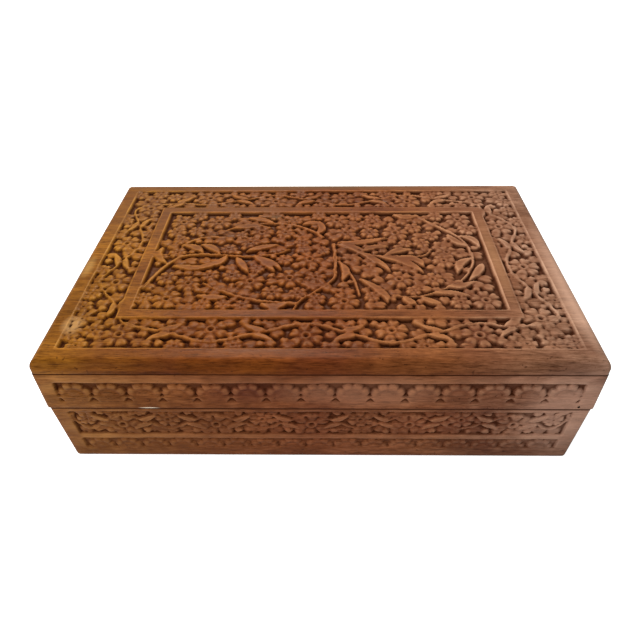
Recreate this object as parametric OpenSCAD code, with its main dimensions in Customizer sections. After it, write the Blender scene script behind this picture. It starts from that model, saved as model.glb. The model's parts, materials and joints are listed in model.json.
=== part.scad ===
// Carved wooden jewelry box with a hinged lid, a velvet lining and three partitions.
// Millimetres. X runs left to right, Y front to back, Z up.
// The origin is the middle of the closed box's footprint, on the table.

/* [Box] */
// Length of the lid, left to right
lid_length = 280; // [230:1:380]
// Depth of the lid, front to back
lid_depth = 182; // [140:1:260]
// How far the lid stands out past the base's top edge on each side
lid_overhang = 0.75; // [0:0.25:1.5]
// Open line between the closed lid and the base
seam_gap = 0.5; // [0.4:0.05:0.8]

/* [Base] */
// Height of the hinge line above the table
base_height = 44.5; // [36:0.5:90]
// Thickness of the base's walls at their top edge
base_wall = 10.25; // [10.25:0.25:14]
// How far each wall leans in from its top edge to the table
base_taper = 1.75; // [0:0.25:2.5]
// Radius of the rounded edge along the table
foot_round = 3.5; // [1:0.5:4]
// Thickness of the bottom board
bottom_board = 6; // [4:0.5:10]
// How far the bottom board is let into each wall
bottom_rebate = 3.5; // [2:0.5:4.5]

/* [Lid] */
// Thickness of the lid's top board
lid_board = 8; // [6:0.5:12]
// Height of the rim under the top board
rim_height = 24.75; // [14:0.25:40]
// Thickness of the rim
rim_wall = 11; // [11:0.25:15]
// Radius of the top board's rounded edge
edge_round = 5; // [2:0.5:6]
// Radius of the top board's four corners, seen from above
board_corner = 2.5; // [2:0.5:8]
// Radius of the rim's four upright corners
rim_corner = 2; // [1:0.5:5]

/* [Top carving] */
// Plain margin round the carved border
carving_margin = 11; // [8:0.5:20]
// Width of the carved border
border_width = 22.5; // [15:0.5:30]
// Width of the plain band between the border and the middle panel
band_width = 7; // [4:0.5:12]
// Mean depth to which the ground of the carving is cut away
ground_depth = 1; // [0.5:0.1:2.5]

/* [Lining] */
// Thickness of the velvet lining
lining = 1.2; // [0.8:0.1:2.5]
// How far the lining stops short of the open edges of base and lid
lining_drop = 3; // [2:0.5:8]

/* [Partitions] */
// Thickness of a partition
partition = 5; // [3:0.5:8]
// Height of a partition above the floor lining
partition_height = 27; // [10:0.5:28]
// Depth of the long compartment in front
front_compartment = 62; // [35:1:90]
// Depth of the grooves that hold the short partitions
partition_groove = 1; // [0.5:0.25:1.5]

/* [Hinges] */
// Length of a hinge
hinge_length = 32; // [24:1:50]
// Distance from the end of the lid to the near end of a hinge
hinge_inset = 40; // [20:1:60]
// Distance from the lid's back face in to the pin
pin_inset = 3.6; // [3.4:0.1:3.8]
// Radius of the hinge pin
pin_radius = 1; // [0.8:0.1:1.2]
// Radius of the hinge's barrel
barrel_radius = 2.2; // [2:0.1:2.4]
// Thickness of a hinge leaf
leaf = 1.2; // [0.8:0.1:1.4]
// Width of a hinge leaf, measured from the pin
leaf_width = 6.5; // [6:0.1:6.8]
// Clearance round the pin in the knuckles that turn on it
pin_clearance = 0.05; // [0.02:0.01:0.1]
// Clearance round the barrel and between the knuckles
barrel_clearance = 0.3; // [0.3:0.05:0.5]
// Angle at which the lid's bevel comes to rest near the base's
open_angle = 100; // [90:1:110]

/* [Fasteners] */
// Radius of a hinge screw's shank
screw_radius = 0.8; // [0.6:0.1:1]
// Radius of a hinge screw's head
screw_head_radius = 1.5; // [1.2:0.1:1.7]
// Depth of a hinge screw's countersunk head
screw_head = 0.8; // [0.6:0.1:1]
// Length of a hinge screw
screw_length = 7; // [5:0.5:9]
// Radius of the brad in the rim
brad_radius = 0.7; // [0.5:0.1:1]
// Length of the brad
brad_length = 16; // [13:0.5:25]
// Distance from the end of the lid to the brad
brad_inset = 8.5; // [6:0.5:9.5]
// Height of the brad above the rim's lower edge
brad_rise = 2; // [1.5:0.25:8]

/* [Hidden] */
$fn = 64;

wood = [0.50, 0.29, 0.16];
velvet = [0.36, 0.04, 0.07];
brass = [0.78, 0.60, 0.30];
steel = [0.85, 0.84, 0.80];

// Heights
base_top = base_height - seam_gap / 2;
lid_bottom = base_height + seam_gap / 2;
rim_top = lid_bottom + rim_height;
lid_top = rim_top + lid_board;
floor_top = bottom_board + lining;
ceiling = rim_top - lining;

// Half sizes, from the middle of the box
half_length = lid_length / 2;
half_depth = lid_depth / 2;
base_half_length = half_length - lid_overhang;
base_half_depth = half_depth - lid_overhang;
base_in_length = base_half_length - base_wall;
base_in_depth = base_half_depth - base_wall;
lid_in_length = half_length - rim_wall;
lid_in_depth = half_depth - rim_wall;

// Partitions
divider_front = -base_in_depth + lining + front_compartment;
divider_back = divider_front + partition;
cross_spacing = 2 * (base_in_length - lining) / 3;
cross_x = cross_spacing / 2;

// Hinges
hinge_x = half_length - hinge_inset - hinge_length / 2;
pin_y = half_depth - pin_inset;
knuckle_count = 5;
knuckle = hinge_length / knuckle_count;
pocket_radius = barrel_radius + barrel_clearance;
screw_row = (pocket_radius + leaf_width) / 2;
screw_spread = hinge_length / 4;
// Each bevel leaves a few degrees beyond half the opening angle
bevel_relief = 3;
bevel_angle = open_angle / 2 + bevel_relief;
bevel_run = 2 * pin_inset;
bevel_rise = bevel_run * tan(bevel_angle);
driver_slot = 0.5;
// Cutters run past the surfaces that they cut by this much
past = 1;

// ---------- helpers ----------

// A flat outline in Y and Z, drawn out along X about the middle
module along_x(length) {
    rotate([90, 0, 90]) linear_extrude(length, center = true) children();
}

// A flat outline in X and Z, drawn out along Y about the middle
module along_y(length) {
    rotate([90, 0, 0]) linear_extrude(length, center = true) children();
}

// A box between two corners
module span(low, high) {
    translate(low) cube(high - low);
}

// A rectangle with four round corners, about the middle
module round_rectangle(half_x, half_y, radius) {
    square([2 * (half_x - radius), 2 * half_y], center = true);
    square([2 * half_x, 2 * (half_y - radius)], center = true);
    for (sx = [-1, 1], sy = [-1, 1])
        translate([sx * (half_x - radius), sy * (half_y - radius)]) circle(radius);
}

// A square-edged ring between two heights, inside the given half sizes
module ring(half_x, half_y, thickness, low, high) {
    difference() {
        span([-half_x, -half_y, low], [half_x, half_y, high]);
        span([-half_x + thickness, -half_y + thickness, low - past],
             [half_x - thickness, half_y - thickness, high + past]);
    }
}

// ---------- base ----------

// Half the base's width at a height, leaning in towards the table
function lean(top_half, height) = top_half - base_taper * (1 - height / base_top);

// Upright section of the base, leaning in towards the table
module base_section(top_half) {
    foot_half = lean(top_half, 0);
    polygon([
        [-top_half, base_top], [top_half, base_top], [foot_half, 0], [-foot_half, 0]
    ]);
}

// What is cut away from that section to round its two lower corners
module foot_corners(top_half) {
    edge = lean(top_half, foot_round);
    for (side = [-1, 1]) translate([side * (edge - foot_round), foot_round])
        difference() {
            translate([side < 0 ? -foot_round - past : 0, -foot_round - past])
                square([foot_round + past, foot_round + past]);
            circle(foot_round);
        }
}

// The whole outside of the base
module base_form() {
    difference() {
        intersection() {
            along_x(lid_length) base_section(base_half_depth);
            along_y(lid_depth) base_section(base_half_length);
        }
        along_x(lid_length + 2 * past) foot_corners(base_half_depth);
        along_y(lid_depth + 2 * past) foot_corners(base_half_length);
    }
}

// Space of the bottom board, which stands in a rebate in all four walls
module bottom_board_space(extra = 0) {
    span([-base_in_length - bottom_rebate, -base_in_depth - bottom_rebate, -extra],
         [base_in_length + bottom_rebate, base_in_depth + bottom_rebate, bottom_board]);
}

// A front or back wall: full length, over the ends of the side walls
module base_long_wall(side) {
    difference() {
        intersection() {
            base_form();
            translate([0, side * (base_in_depth + lid_depth / 2), base_top / 2])
                cube([lid_length, lid_depth, base_top], center = true);
        }
        bottom_board_space(past);
    }
}

// A side wall, between the front and back walls
module base_side_wall(side) {
    difference() {
        intersection() {
            base_form();
            translate([side * (base_in_length + lid_length / 2), 0, base_top / 2])
                cube([lid_length, 2 * base_in_depth, base_top], center = true);
        }
        bottom_board_space(past);
    }
}

module base_front_wall() {
    color(wood) base_long_wall(-1);
}

module base_back_wall() {
    color(wood) difference() {
        base_long_wall(1);
        bevel_cut(-1);
        for (side = [-1, 1]) {
            hinge_pocket(side);
            leaf_space(side, -1);
            screw_holes(side, -1);
        }
    }
}

module base_left_wall() {
    color(wood) base_side_wall(-1);
}

module base_right_wall() {
    color(wood) base_side_wall(1);
}

module base_bottom_board() {
    color(wood) bottom_board_space();
}

module base_floor_lining() {
    color(velvet)
        span([-base_in_length, -base_in_depth, bottom_board],
             [base_in_length, base_in_depth, floor_top]);
}

module base_wall_lining() {
    color(velvet)
        ring(base_in_length, base_in_depth, lining, floor_top, base_top - lining_drop);
}

// ---------- partitions ----------

module long_divider() {
    reach = base_in_length - lining;
    color(velvet) difference() {
        span([-reach, divider_front, floor_top],
             [reach, divider_back, floor_top + partition_height]);
        for (side = [-1, 1])
            translate([side * cross_x - partition / 2, divider_back - partition_groove,
                       floor_top - past])
                cube([partition, partition_groove + past, partition_height + 2 * past]);
    }
}

module cross_divider(side) {
    span([side * cross_x - partition / 2, divider_back - partition_groove, floor_top],
         [side * cross_x + partition / 2, base_in_depth - lining,
          floor_top + partition_height]);
}

module left_cross_divider() {
    color(velvet) cross_divider(-1);
}

module right_cross_divider() {
    color(velvet) cross_divider(1);
}

// ---------- hinges ----------

// A cylinder along the pin's line, from one distance to another along the hinge
module on_pin(side, from, to, radius) {
    translate([side * hinge_x + from, pin_y, base_height])
        rotate([0, 90, 0]) cylinder(h = to - from, r = radius);
}

// Bevel behind the pin: level -1 cuts the base's wall, 1 cuts the lid's rim
module bevel_cut(level) {
    translate([0, pin_y, base_height + level * seam_gap / 2])
        along_x(lid_length + 2 * past)
            polygon([[0, 0], [bevel_run, 0], [bevel_run, level * bevel_rise]]);
}

// Round pocket that the barrel turns in
module hinge_pocket(side) {
    on_pin(side, -hinge_length / 2 - barrel_clearance, hinge_length / 2 + barrel_clearance,
           pocket_radius);
}

// The flat plate of a leaf: level -1 lies in the base, 1 in the lid
module leaf_space(side, level) {
    low = base_height + (level < 0 ? -seam_gap / 2 - leaf : seam_gap / 2);
    translate([side * hinge_x - hinge_length / 2, pin_y - leaf_width, low])
        cube([hinge_length, leaf_width, leaf]);
}

// Knuckles from the first number on, every second one; grow widens them into cutters
module knuckles(side, first, grow = 0) {
    for (i = [first : 2 : knuckle_count - 1]) {
        start = -hinge_length / 2 + i * knuckle;
        on_pin(side, start + barrel_clearance / 2 - grow,
               start + knuckle - barrel_clearance / 2 + grow, barrel_radius + grow);
    }
}

// Places children at each screw of a leaf, head outwards towards the seam
module at_screws(side, level) {
    for (end = [-1, 1])
        translate([side * hinge_x + end * screw_spread, pin_y - screw_row,
                   base_height + level * seam_gap / 2])
            rotate([level < 0 ? 0 : 180, 0, 0]) children();
}

// Countersunk screw with its head's face at the origin and its shank downwards
module screw_body() {
    translate([0, 0, -screw_head])
        cylinder(h = screw_head, r1 = screw_radius, r2 = screw_head_radius);
    translate([0, 0, -screw_length]) cylinder(h = screw_length, r = screw_radius);
}

module screw() {
    difference() {
        screw_body();
        cube([2 * screw_head_radius + past, driver_slot, driver_slot], center = true);
    }
}

module screw_holes(side, level) {
    at_screws(side, level) screw_body();
}

// One leaf of a hinge: level -1 is screwed to the base, 1 to the lid
module hinge_leaf(side, level, bore) {
    own = level < 0 ? 0 : 1;
    difference() {
        union() {
            difference() {
                leaf_space(side, level);
                knuckles(side, 1 - own, barrel_clearance);
            }
            knuckles(side, own);
        }
        on_pin(side, -hinge_length, hinge_length, bore);
        screw_holes(side, level);
    }
}

module left_hinge_base_leaf() {
    color(brass) hinge_leaf(-1, -1, pin_radius);
}

module right_hinge_base_leaf() {
    color(brass) hinge_leaf(1, -1, pin_radius);
}

module left_hinge_lid_leaf() {
    color(brass) hinge_leaf(-1, 1, pin_radius + pin_clearance);
}

module right_hinge_lid_leaf() {
    color(brass) hinge_leaf(1, 1, pin_radius + pin_clearance);
}

module hinge_pin(side) {
    on_pin(side, -hinge_length / 2, hinge_length / 2, pin_radius);
}

module left_hinge_pin() {
    color(brass) hinge_pin(-1);
}

module right_hinge_pin() {
    color(brass) hinge_pin(1);
}

module base_hinge_screws() {
    color(brass) for (side = [-1, 1]) at_screws(side, -1) screw();
}

module lid_hinge_screws() {
    color(brass) for (side = [-1, 1]) at_screws(side, 1) screw();
}

// ---------- lid ----------

// Section of the top board with its two upper edges rounded
module board_section(half) {
    translate([-half, rim_top]) square([2 * half, lid_board - edge_round]);
    translate([-half + edge_round, rim_top]) square([2 * (half - edge_round), lid_board]);
    for (side = [-1, 1])
        translate([side * (half - edge_round), lid_top - edge_round]) circle(edge_round);
}

// A level slice of the lid with its upright corners rounded
module lid_slice(low, high, corner) {
    translate([0, 0, low])
        linear_extrude(high - low) round_rectangle(half_length, half_depth, corner);
}

// A shallow recess in the top, inside the given margin
module ground(margin, low) {
    span([-half_length + margin, -half_depth + margin, low],
         [half_length - margin, half_depth - margin, lid_top + past]);
}

// The carved grounds: a border and a middle panel with a plain band between
module carved_grounds() {
    low = lid_top - ground_depth;
    inner = carving_margin + border_width;
    difference() {
        ground(carving_margin, low);
        ground(inner, low - past);
    }
    ground(inner + band_width, low);
}

module lid_top_board() {
    color(wood) difference() {
        intersection() {
            lid_slice(rim_top, lid_top, board_corner);
            along_x(lid_length) board_section(half_depth);
            along_y(lid_depth) board_section(half_length);
        }
        carved_grounds();
    }
}

// A front or back rim: full length, over the ends of the side rims
module long_rim(side) {
    intersection() {
        lid_slice(lid_bottom, rim_top, rim_corner);
        translate([0, side * (lid_in_depth + lid_depth / 2), (lid_bottom + rim_top) / 2])
            cube([lid_length, lid_depth, rim_height], center = true);
    }
}

module side_rim(side) {
    intersection() {
        lid_slice(lid_bottom, rim_top, rim_corner);
        translate([side * (lid_in_length + lid_length / 2), 0, (lid_bottom + rim_top) / 2])
            cube([lid_length, 2 * lid_in_depth, rim_height], center = true);
    }
}

// The brad, driven in from the front through the corner joint
module brad_body() {
    translate([half_length - brad_inset, -half_depth, lid_bottom + brad_rise])
        rotate([-90, 0, 0]) cylinder(h = brad_length, r = brad_radius);
}

module lid_front_rim() {
    color(wood) difference() {
        long_rim(-1);
        brad_body();
    }
}

module lid_back_rim() {
    color(wood) difference() {
        long_rim(1);
        bevel_cut(1);
        for (side = [-1, 1]) {
            hinge_pocket(side);
            leaf_space(side, 1);
            screw_holes(side, 1);
        }
    }
}

module lid_left_rim() {
    color(wood) side_rim(-1);
}

module lid_right_rim() {
    color(wood) difference() {
        side_rim(1);
        brad_body();
    }
}

module rim_brad() {
    color(steel) brad_body();
}

module lid_ceiling_lining() {
    color(velvet)
        span([-lid_in_length, -lid_in_depth, ceiling], [lid_in_length, lid_in_depth, rim_top]);
}

module lid_wall_lining() {
    color(velvet)
        ring(lid_in_length, lid_in_depth, lining, lid_bottom + lining_drop, ceiling);
}

// ---------- nodes ----------

base_front_wall();
base_back_wall();
base_left_wall();
base_right_wall();
base_bottom_board();
base_floor_lining();
base_wall_lining();
long_divider();
left_cross_divider();
right_cross_divider();
left_hinge_base_leaf();
right_hinge_base_leaf();
left_hinge_pin();
right_hinge_pin();
base_hinge_screws();
lid_top_board();
lid_front_rim();
lid_back_rim();
lid_left_rim();
lid_right_rim();
lid_ceiling_lining();
lid_wall_lining();
left_hinge_lid_leaf();
right_hinge_lid_leaf();
lid_hinge_screws();
rim_brad();
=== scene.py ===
# %% [markdown]
# # A carved wooden jewelry box
# The box is sheesham, an Indian rosewood, cut and carved by hand and then waxed. A lid board
# lies on a low rim, and the rim closes on a deeper base that leans in towards the table. The
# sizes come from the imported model, so every piece here is placed from the boxes of its nodes.

# %% The frame and its size
import json
import math
import random

import bpy
import numpy as np
from mathutils import Matrix, Vector

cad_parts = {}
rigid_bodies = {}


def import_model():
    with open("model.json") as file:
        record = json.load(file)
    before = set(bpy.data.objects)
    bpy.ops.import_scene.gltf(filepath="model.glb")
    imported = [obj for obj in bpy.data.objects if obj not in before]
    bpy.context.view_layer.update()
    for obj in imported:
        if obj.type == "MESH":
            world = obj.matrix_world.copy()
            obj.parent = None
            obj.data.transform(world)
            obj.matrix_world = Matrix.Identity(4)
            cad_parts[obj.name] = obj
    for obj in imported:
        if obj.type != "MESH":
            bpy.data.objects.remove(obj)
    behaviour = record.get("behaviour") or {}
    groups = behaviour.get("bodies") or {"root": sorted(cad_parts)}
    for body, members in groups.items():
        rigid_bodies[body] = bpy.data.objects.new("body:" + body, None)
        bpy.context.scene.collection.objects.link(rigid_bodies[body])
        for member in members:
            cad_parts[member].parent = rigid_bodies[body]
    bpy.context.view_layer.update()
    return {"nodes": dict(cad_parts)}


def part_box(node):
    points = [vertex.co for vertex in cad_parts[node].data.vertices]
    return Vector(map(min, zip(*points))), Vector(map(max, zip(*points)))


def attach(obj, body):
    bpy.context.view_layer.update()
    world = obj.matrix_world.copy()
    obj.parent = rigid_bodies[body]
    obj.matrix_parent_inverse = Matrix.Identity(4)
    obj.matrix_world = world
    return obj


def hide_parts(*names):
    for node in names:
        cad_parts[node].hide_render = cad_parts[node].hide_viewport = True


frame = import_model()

print("nodes in the frame:", len(frame["nodes"]))

# %% [markdown]
# Carvers think in millimetres and Blender in metres, so one number joins the two. Heights and
# widths below are read once from the nodes, in millimetres.

# %% Sizes of the box in millimetres
MM = 0.001


def node_mm(node):
    """Lowest and highest corner of a node, in millimetres."""
    low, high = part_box(node)
    return [v / MM for v in low], [v / MM for v in high]


board_low, board_high = node_mm("lid_top_board")
wall_low, wall_high = node_mm("base_front_wall")
half_x = board_high[0]
half_y = board_high[1]
top = board_high[2]
board_under = board_low[2]
rim_bottom = node_mm("lid_front_rim")[0][2]
base_top = wall_high[2]
base_half_x = wall_high[0]
base_half_y = -wall_low[1]
inner_y = node_mm("base_left_wall")[1][1]
inner_x = half_x - (half_y - inner_y)
print("lid", 2 * half_x, "x", 2 * half_y, "top at", round(top, 2), "base top at", round(base_top, 2))

# %% [markdown]
# Small helpers come first: one makes a mesh object from lists, one turns a colour on the
# screen into the linear values that shaders use, and one adds a node with its settings and
# links. Every tree in this lesson, for shapes and for finishes, is built with that last one.

# %% Helpers for meshes, colours and nodes


def mesh_object(name, points, edges=(), faces=(), values=None):
    """A mesh object at the origin; values are point attributes, name to (type, numbers)."""
    mesh = bpy.data.meshes.new(name)
    mesh.from_pydata([tuple(p) for p in points], list(edges), list(faces))
    for key, (kind, numbers) in (values or {}).items():
        field = mesh.attributes.new(key, kind, "POINT")
        slot_name = "vector" if kind == "FLOAT_VECTOR" else "value"
        field.data.foreach_set(slot_name, np.asarray(numbers).ravel())
    mesh.update()
    piece = bpy.data.objects.new(name, mesh)
    bpy.context.scene.collection.objects.link(piece)
    return piece


def colour(code):
    """A screen colour such as 8B5A2B, as linear red, green, blue and alpha."""
    parts = [int(code[i : i + 2], 16) / 255 for i in (0, 2, 4)]
    bent = [p / 12.92 if p <= 0.04045 else ((p + 0.055) / 1.055) ** 2.4 for p in parts]
    return (*bent, 1.0)


def add(tree, kind, settings=None, links=None):
    """A new node; settings are properties or inputs, links are inputs fed by an output."""
    node = tree.nodes.new(kind)
    for key, value in (settings or {}).items():
        if isinstance(key, str) and hasattr(node, key):
            setattr(node, key, value)
        else:
            node.inputs[key].default_value = value
    for key, source in (links or {}).items():
        output = source[0].outputs[source[1]] if isinstance(source, tuple) else source.outputs[0]
        tree.links.new(output, node.inputs[key])
    return node


# %% [markdown]
# ## The carver's punches
# The same few motifs come back all over the box: a six-petalled flower with a punched eye, a
# bud, and a half flower that opens like a fan. Each is a small mesh whose height follows a
# formula in polar form. Their skirts drop below the ground, so that they can be set anywhere.
# A plain plug of level wood stands between two nicks.

# %% A punch from a formula in polar form


def dip(distance, width):
    """A smooth groove of unit depth, for a distance and a width in the same unit."""
    return math.exp(-((distance / width) ** 2))


def punch(name, outline, height, rings=11, spokes=72, skirt=3.2):
    """outline(angle) is a radius in mm, height(share, radius, angle) a height in mm."""
    points = [(0, 0, height(0, 0, 0) * MM)]
    for ring in range(1, rings + 2):
        share = min(ring / rings, 1.0)
        for spoke in range(spokes):
            angle = 2 * math.pi * spoke / spokes
            reach = outline(angle) * share
            level = height(share, reach, angle)
            if ring > rings:
                reach += 0.5
                level -= skirt
            points.append((reach * math.cos(angle) * MM, reach * math.sin(angle) * MM, level * MM))
    faces = [(0, 1 + s, 1 + (s + 1) % spokes) for s in range(spokes)]
    for ring in range(rings):
        first = 1 + ring * spokes
        for s in range(spokes):
            after = (s + 1) % spokes
            faces.append((first + s, first + spokes + s, first + spokes + after, first + after))
    return mesh_object(name, points, faces=faces)


# %% Flower, bud, half flower and plug
PETALS = 6
REACH = 8.7


def petal_turn(angle, count=PETALS):
    """-1 to 1 across one petal, 0 on its middle line."""
    return 2 * ((angle * count / (2 * math.pi) + 0.5) % 1.0) - 1


def flower_outline(angle):
    across = petal_turn(angle)
    return REACH * (1 - 0.25 * abs(across) ** 4 - 0.05 * dip(across, 0.22))


def flower_height(share, reach, angle):
    across = petal_turn(angle)
    level = -0.6 + 0.42 * math.sin(min(share, 1) * 1.9) - 0.9 * share**8
    off_gap = (1 - abs(across)) * math.pi / PETALS * reach
    if reach > 3.0:
        level -= (0.5 + 0.6 * share) * dip(off_gap, 0.46) + 0.15 * across**2
        level -= 0.3 * dip(across, 0.16) * dip(reach - 7.6, 1.5)
    level -= 0.35 * dip(reach - 3.1, 0.5)
    level += 0.35 * dip(reach - 1.9, 0.6)
    level -= 1.7 * dip(reach, 0.85)
    return level


def bud_outline(angle):
    forward = math.cos(angle)
    return 3.2 * (1 - 0.3 * dip(math.sin(angle / 2), 0.16) + 0.3 * max(-forward, 0) ** 5)


def bud_height(share, reach, angle):
    middle = dip(reach * math.sin(angle), 0.4) * (math.cos(angle) > 0)
    return -0.3 - 0.9 * share**5 - 0.5 * middle * share


FAN_LOBES = 4


def fan_outline(angle):
    if math.sin(angle) < 0:
        return REACH / math.hypot(math.cos(angle), 5 * math.sin(angle))
    lobe = 2 * ((angle / math.pi * FAN_LOBES) % 1.0) - 1
    return REACH * (1 - 0.16 * abs(lobe) ** 3)


def fan_height(share, reach, angle):
    up = math.sin(angle)
    if up < 0:
        return -0.05 - 0.2 * share
    lobe = 2 * ((angle / math.pi * FAN_LOBES) % 1.0) - 1
    edge = (1 - abs(lobe)) * math.pi / (2 * FAN_LOBES) * reach
    level = -0.06 - 0.9 * share**6 * min(3 * up, 1)
    if reach > 5.0:
        level -= 0.65 * dip(edge, 0.55) * min((reach - 5.0) / 3, 1)
    return level - 0.5 * dip(reach - 4.2, 1.0) * min(4 * up, 1)


def plug(name):
    """Level wood that is left standing between two nicks; its lower edge is at the origin."""
    rim = [(-5.6, -0.6), (5.6, -0.6), (9.0, 3.8), (-9.0, 3.8)]
    points = [(x * MM, y * MM, 0) for x, y in rim]
    points += [(x * 1.03 * MM, y * 1.05 * MM, -1.5 * MM) for x, y in rim]
    faces = [(0, 1, 2, 3)] + [(i, i + 4, (i + 1) % 4 + 4, (i + 1) % 4) for i in range(4)]
    return mesh_object(name, points, faces=faces)


punches = bpy.data.collections.new("punches")
bpy.context.scene.collection.children.link(punches)
FLOWER, BUD, FAN, PLUG = range(4)
for tool in (
    punch("0 flower", flower_outline, flower_height),
    punch("1 bud", bud_outline, bud_height, rings=6, spokes=28),
    punch("2 fan", fan_outline, fan_height, rings=10, spokes=80),
    plug("3 plug"),
):
    bpy.context.scene.collection.objects.unlink(tool)
    punches.objects.link(tool)

# %% [markdown]
# ## Carving with Geometry Nodes
# A carver draws the pattern, sinks the ground and rounds what is left. The tree does the same:
# it sets the punches at the points of a layout, sweeps stems and leaves along their lines, and
# then drops a fine sheet onto all of it from above, as a cloth over a mould. The sheet keeps
# the highest surface that each point meets, so overlapping motifs cut into each other as they
# do in wood. Four drops a hair apart are averaged, which gives the edges a soft, worked slope.

# %% The tree that carves a sheet


def carving_tree():
    tree = bpy.data.node_groups.new("carve a sheet", "GeometryNodeTree")
    sockets = [("Sheet", "Geometry"), ("Tray", "Object"), ("Layout", "Object")]
    sockets += [("Punches", "Collection"), ("Stems", "Object"), ("Leaves", "Object")]
    sockets += [("Stem section", "Object"), ("Leaf section", "Object")]
    sockets += [("Wander", "Float"), ("Wander size", "Float"), ("Softening", "Int")]
    sockets += [("Gouge depth", "Float"), ("Gouge size", "Float"), ("Seed", "Float")]
    sockets += [("Finish", "Material")]
    for title, kind in sockets:
        tree.interface.new_socket(title, in_out="INPUT", socket_type="NodeSocket" + kind)
    tree.interface.new_socket("Carved", in_out="OUTPUT", socket_type="NodeSocketGeometry")
    given = add(tree, "NodeGroupInput")

    def shape(title):
        return add(tree, "GeometryNodeObjectInfo", links={"Object": (given, title)})

    def reading(name, kind="FLOAT"):
        node = tree.nodes.new("GeometryNodeInputNamedAttribute")
        node.data_type = kind
        node.inputs["Name"].default_value = name
        return node

    # the punches, each at its point, turned and sized
    tools = add(
        tree,
        "GeometryNodeCollectionInfo",
        {"Separate Children": True, "Reset Children": True},
        {"Collection": (given, "Punches")},
    )
    turned = add(tree, "ShaderNodeCombineXYZ", links={"Z": (reading("turn"), "Attribute")})
    rotation = add(tree, "FunctionNodeEulerToRotation", links={0: turned})
    struck = add(
        tree,
        "GeometryNodeInstanceOnPoints",
        {"Pick Instance": True},
        {
            "Points": (shape("Layout"), "Geometry"),
            "Instance": tools,
            "Instance Index": (reading("kind", "INT"), "Attribute"),
            "Rotation": rotation,
            "Scale": (reading("size"), "Attribute"),
        },
    )
    parts = [add(tree, "GeometryNodeRealizeInstances", links={0: struck})]
    # stems and leaves, swept along their lines
    for lines, section in (("Stems", "Stem section"), ("Leaves", "Leaf section")):
        path = add(tree, "GeometryNodeMeshToCurve", links={0: (shape(lines), "Geometry")})
        upright = add(tree, "GeometryNodeSetCurveNormal", {"mode": "Z_UP"}, {"Curve": path})
        blade = add(tree, "GeometryNodeMeshToCurve", links={0: (shape(section), "Geometry")})
        swept = add(
            tree,
            "GeometryNodeCurveToMesh",
            links={
                "Curve": upright,
                "Profile Curve": blade,
                "Scale": (reading("half"), "Attribute"),
            },
        )
        parts.append(swept)
    mould = add(tree, "GeometryNodeJoinGeometry")
    for source in [(shape("Tray"), "Geometry")] + [(part, 0) for part in parts]:
        tree.links.new(source[0].outputs[source[1]], mould.inputs[0])

    # where each point of the sheet looks, with a hand's small wander
    place = reading("flat", "FLOAT_VECTOR")
    shifted = add(tree, "ShaderNodeCombineXYZ", links={"Z": (given, "Seed")})
    seeded = add(tree, "ShaderNodeVectorMath", {"operation": "ADD"}, {0: (place, 0), 1: shifted})
    drift = add(
        tree,
        "ShaderNodeTexNoise",
        {"Detail": 1.0},
        {"Vector": seeded, "Scale": (given, "Wander size")},
    )
    centred = add(
        tree,
        "ShaderNodeVectorMath",
        {"operation": "SUBTRACT", 1: (0.5, 0.5, 0.5)},
        {0: (drift, "Color")},
    )
    sway = add(
        tree,
        "ShaderNodeVectorMath",
        {"operation": "SCALE"},
        {0: centred, "Scale": (given, "Wander")},
    )
    level = add(tree, "ShaderNodeVectorMath", {"operation": "MULTIPLY", 1: (1, 1, 0)}, {0: sway})
    wanted = add(tree, "ShaderNodeVectorMath", {"operation": "ADD"}, {0: (place, 0), 1: level})
    total = None
    for dx, dy in ((-1, -1), (1, -1), (-1, 1), (1, 1)):
        start = add(
            tree,
            "ShaderNodeVectorMath",
            {"operation": "ADD", 1: (0.15 * dx * MM, 0.15 * dy * MM, 20 * MM)},
            {0: wanted},
        )
        drop = add(
            tree,
            "GeometryNodeRaycast",
            {"Ray Direction": (0, 0, -1), "Ray Length": 0.1},
            {"Target Geometry": mould, "Source Position": start},
        )
        found = add(tree, "ShaderNodeSeparateXYZ", links={0: (drop, "Hit Position")})
        if total is None:
            total = (found, 2)
        else:
            total = (add(tree, "ShaderNodeMath", {}, {0: total, 1: (found, 2)}), 0)
    mean = add(tree, "ShaderNodeMath", {"operation": "MULTIPLY", 1: 0.25}, {0: total})
    soft = add(
        tree,
        "GeometryNodeBlurAttribute",
        {},
        {"Value": mean, "Iterations": (given, "Softening")},
    )
    # the short scoops that a gouge leaves in the ground
    marks = add(
        tree,
        "ShaderNodeTexNoise",
        {"Detail": 2.0},
        {"Vector": seeded, "Scale": (given, "Gouge size")},
    )
    scoop = add(tree, "ShaderNodeMath", {"operation": "SUBTRACT", 1: 0.5}, {0: marks})
    deep = add(
        tree,
        "ShaderNodeMath",
        {"operation": "MULTIPLY", "use_clamp": True, 1: -1 / (1.2 * MM)},
        {0: soft},
    )
    cut = add(tree, "ShaderNodeMath", {"operation": "MULTIPLY"}, {0: scoop, 1: deep})
    cut_mm = add(
        tree, "ShaderNodeMath", {"operation": "MULTIPLY"}, {0: cut, 1: (given, "Gouge depth")}
    )
    whole = add(tree, "ShaderNodeMath", {"operation": "ADD"}, {0: soft, 1: cut_mm})
    low = add(tree, "ShaderNodeMath", {"operation": "MINIMUM", 1: 0.0}, {0: whole})
    masked = add(
        tree, "ShaderNodeMath", {"operation": "MULTIPLY"}, {0: low, 1: (reading("mask"), 0)}
    )
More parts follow.
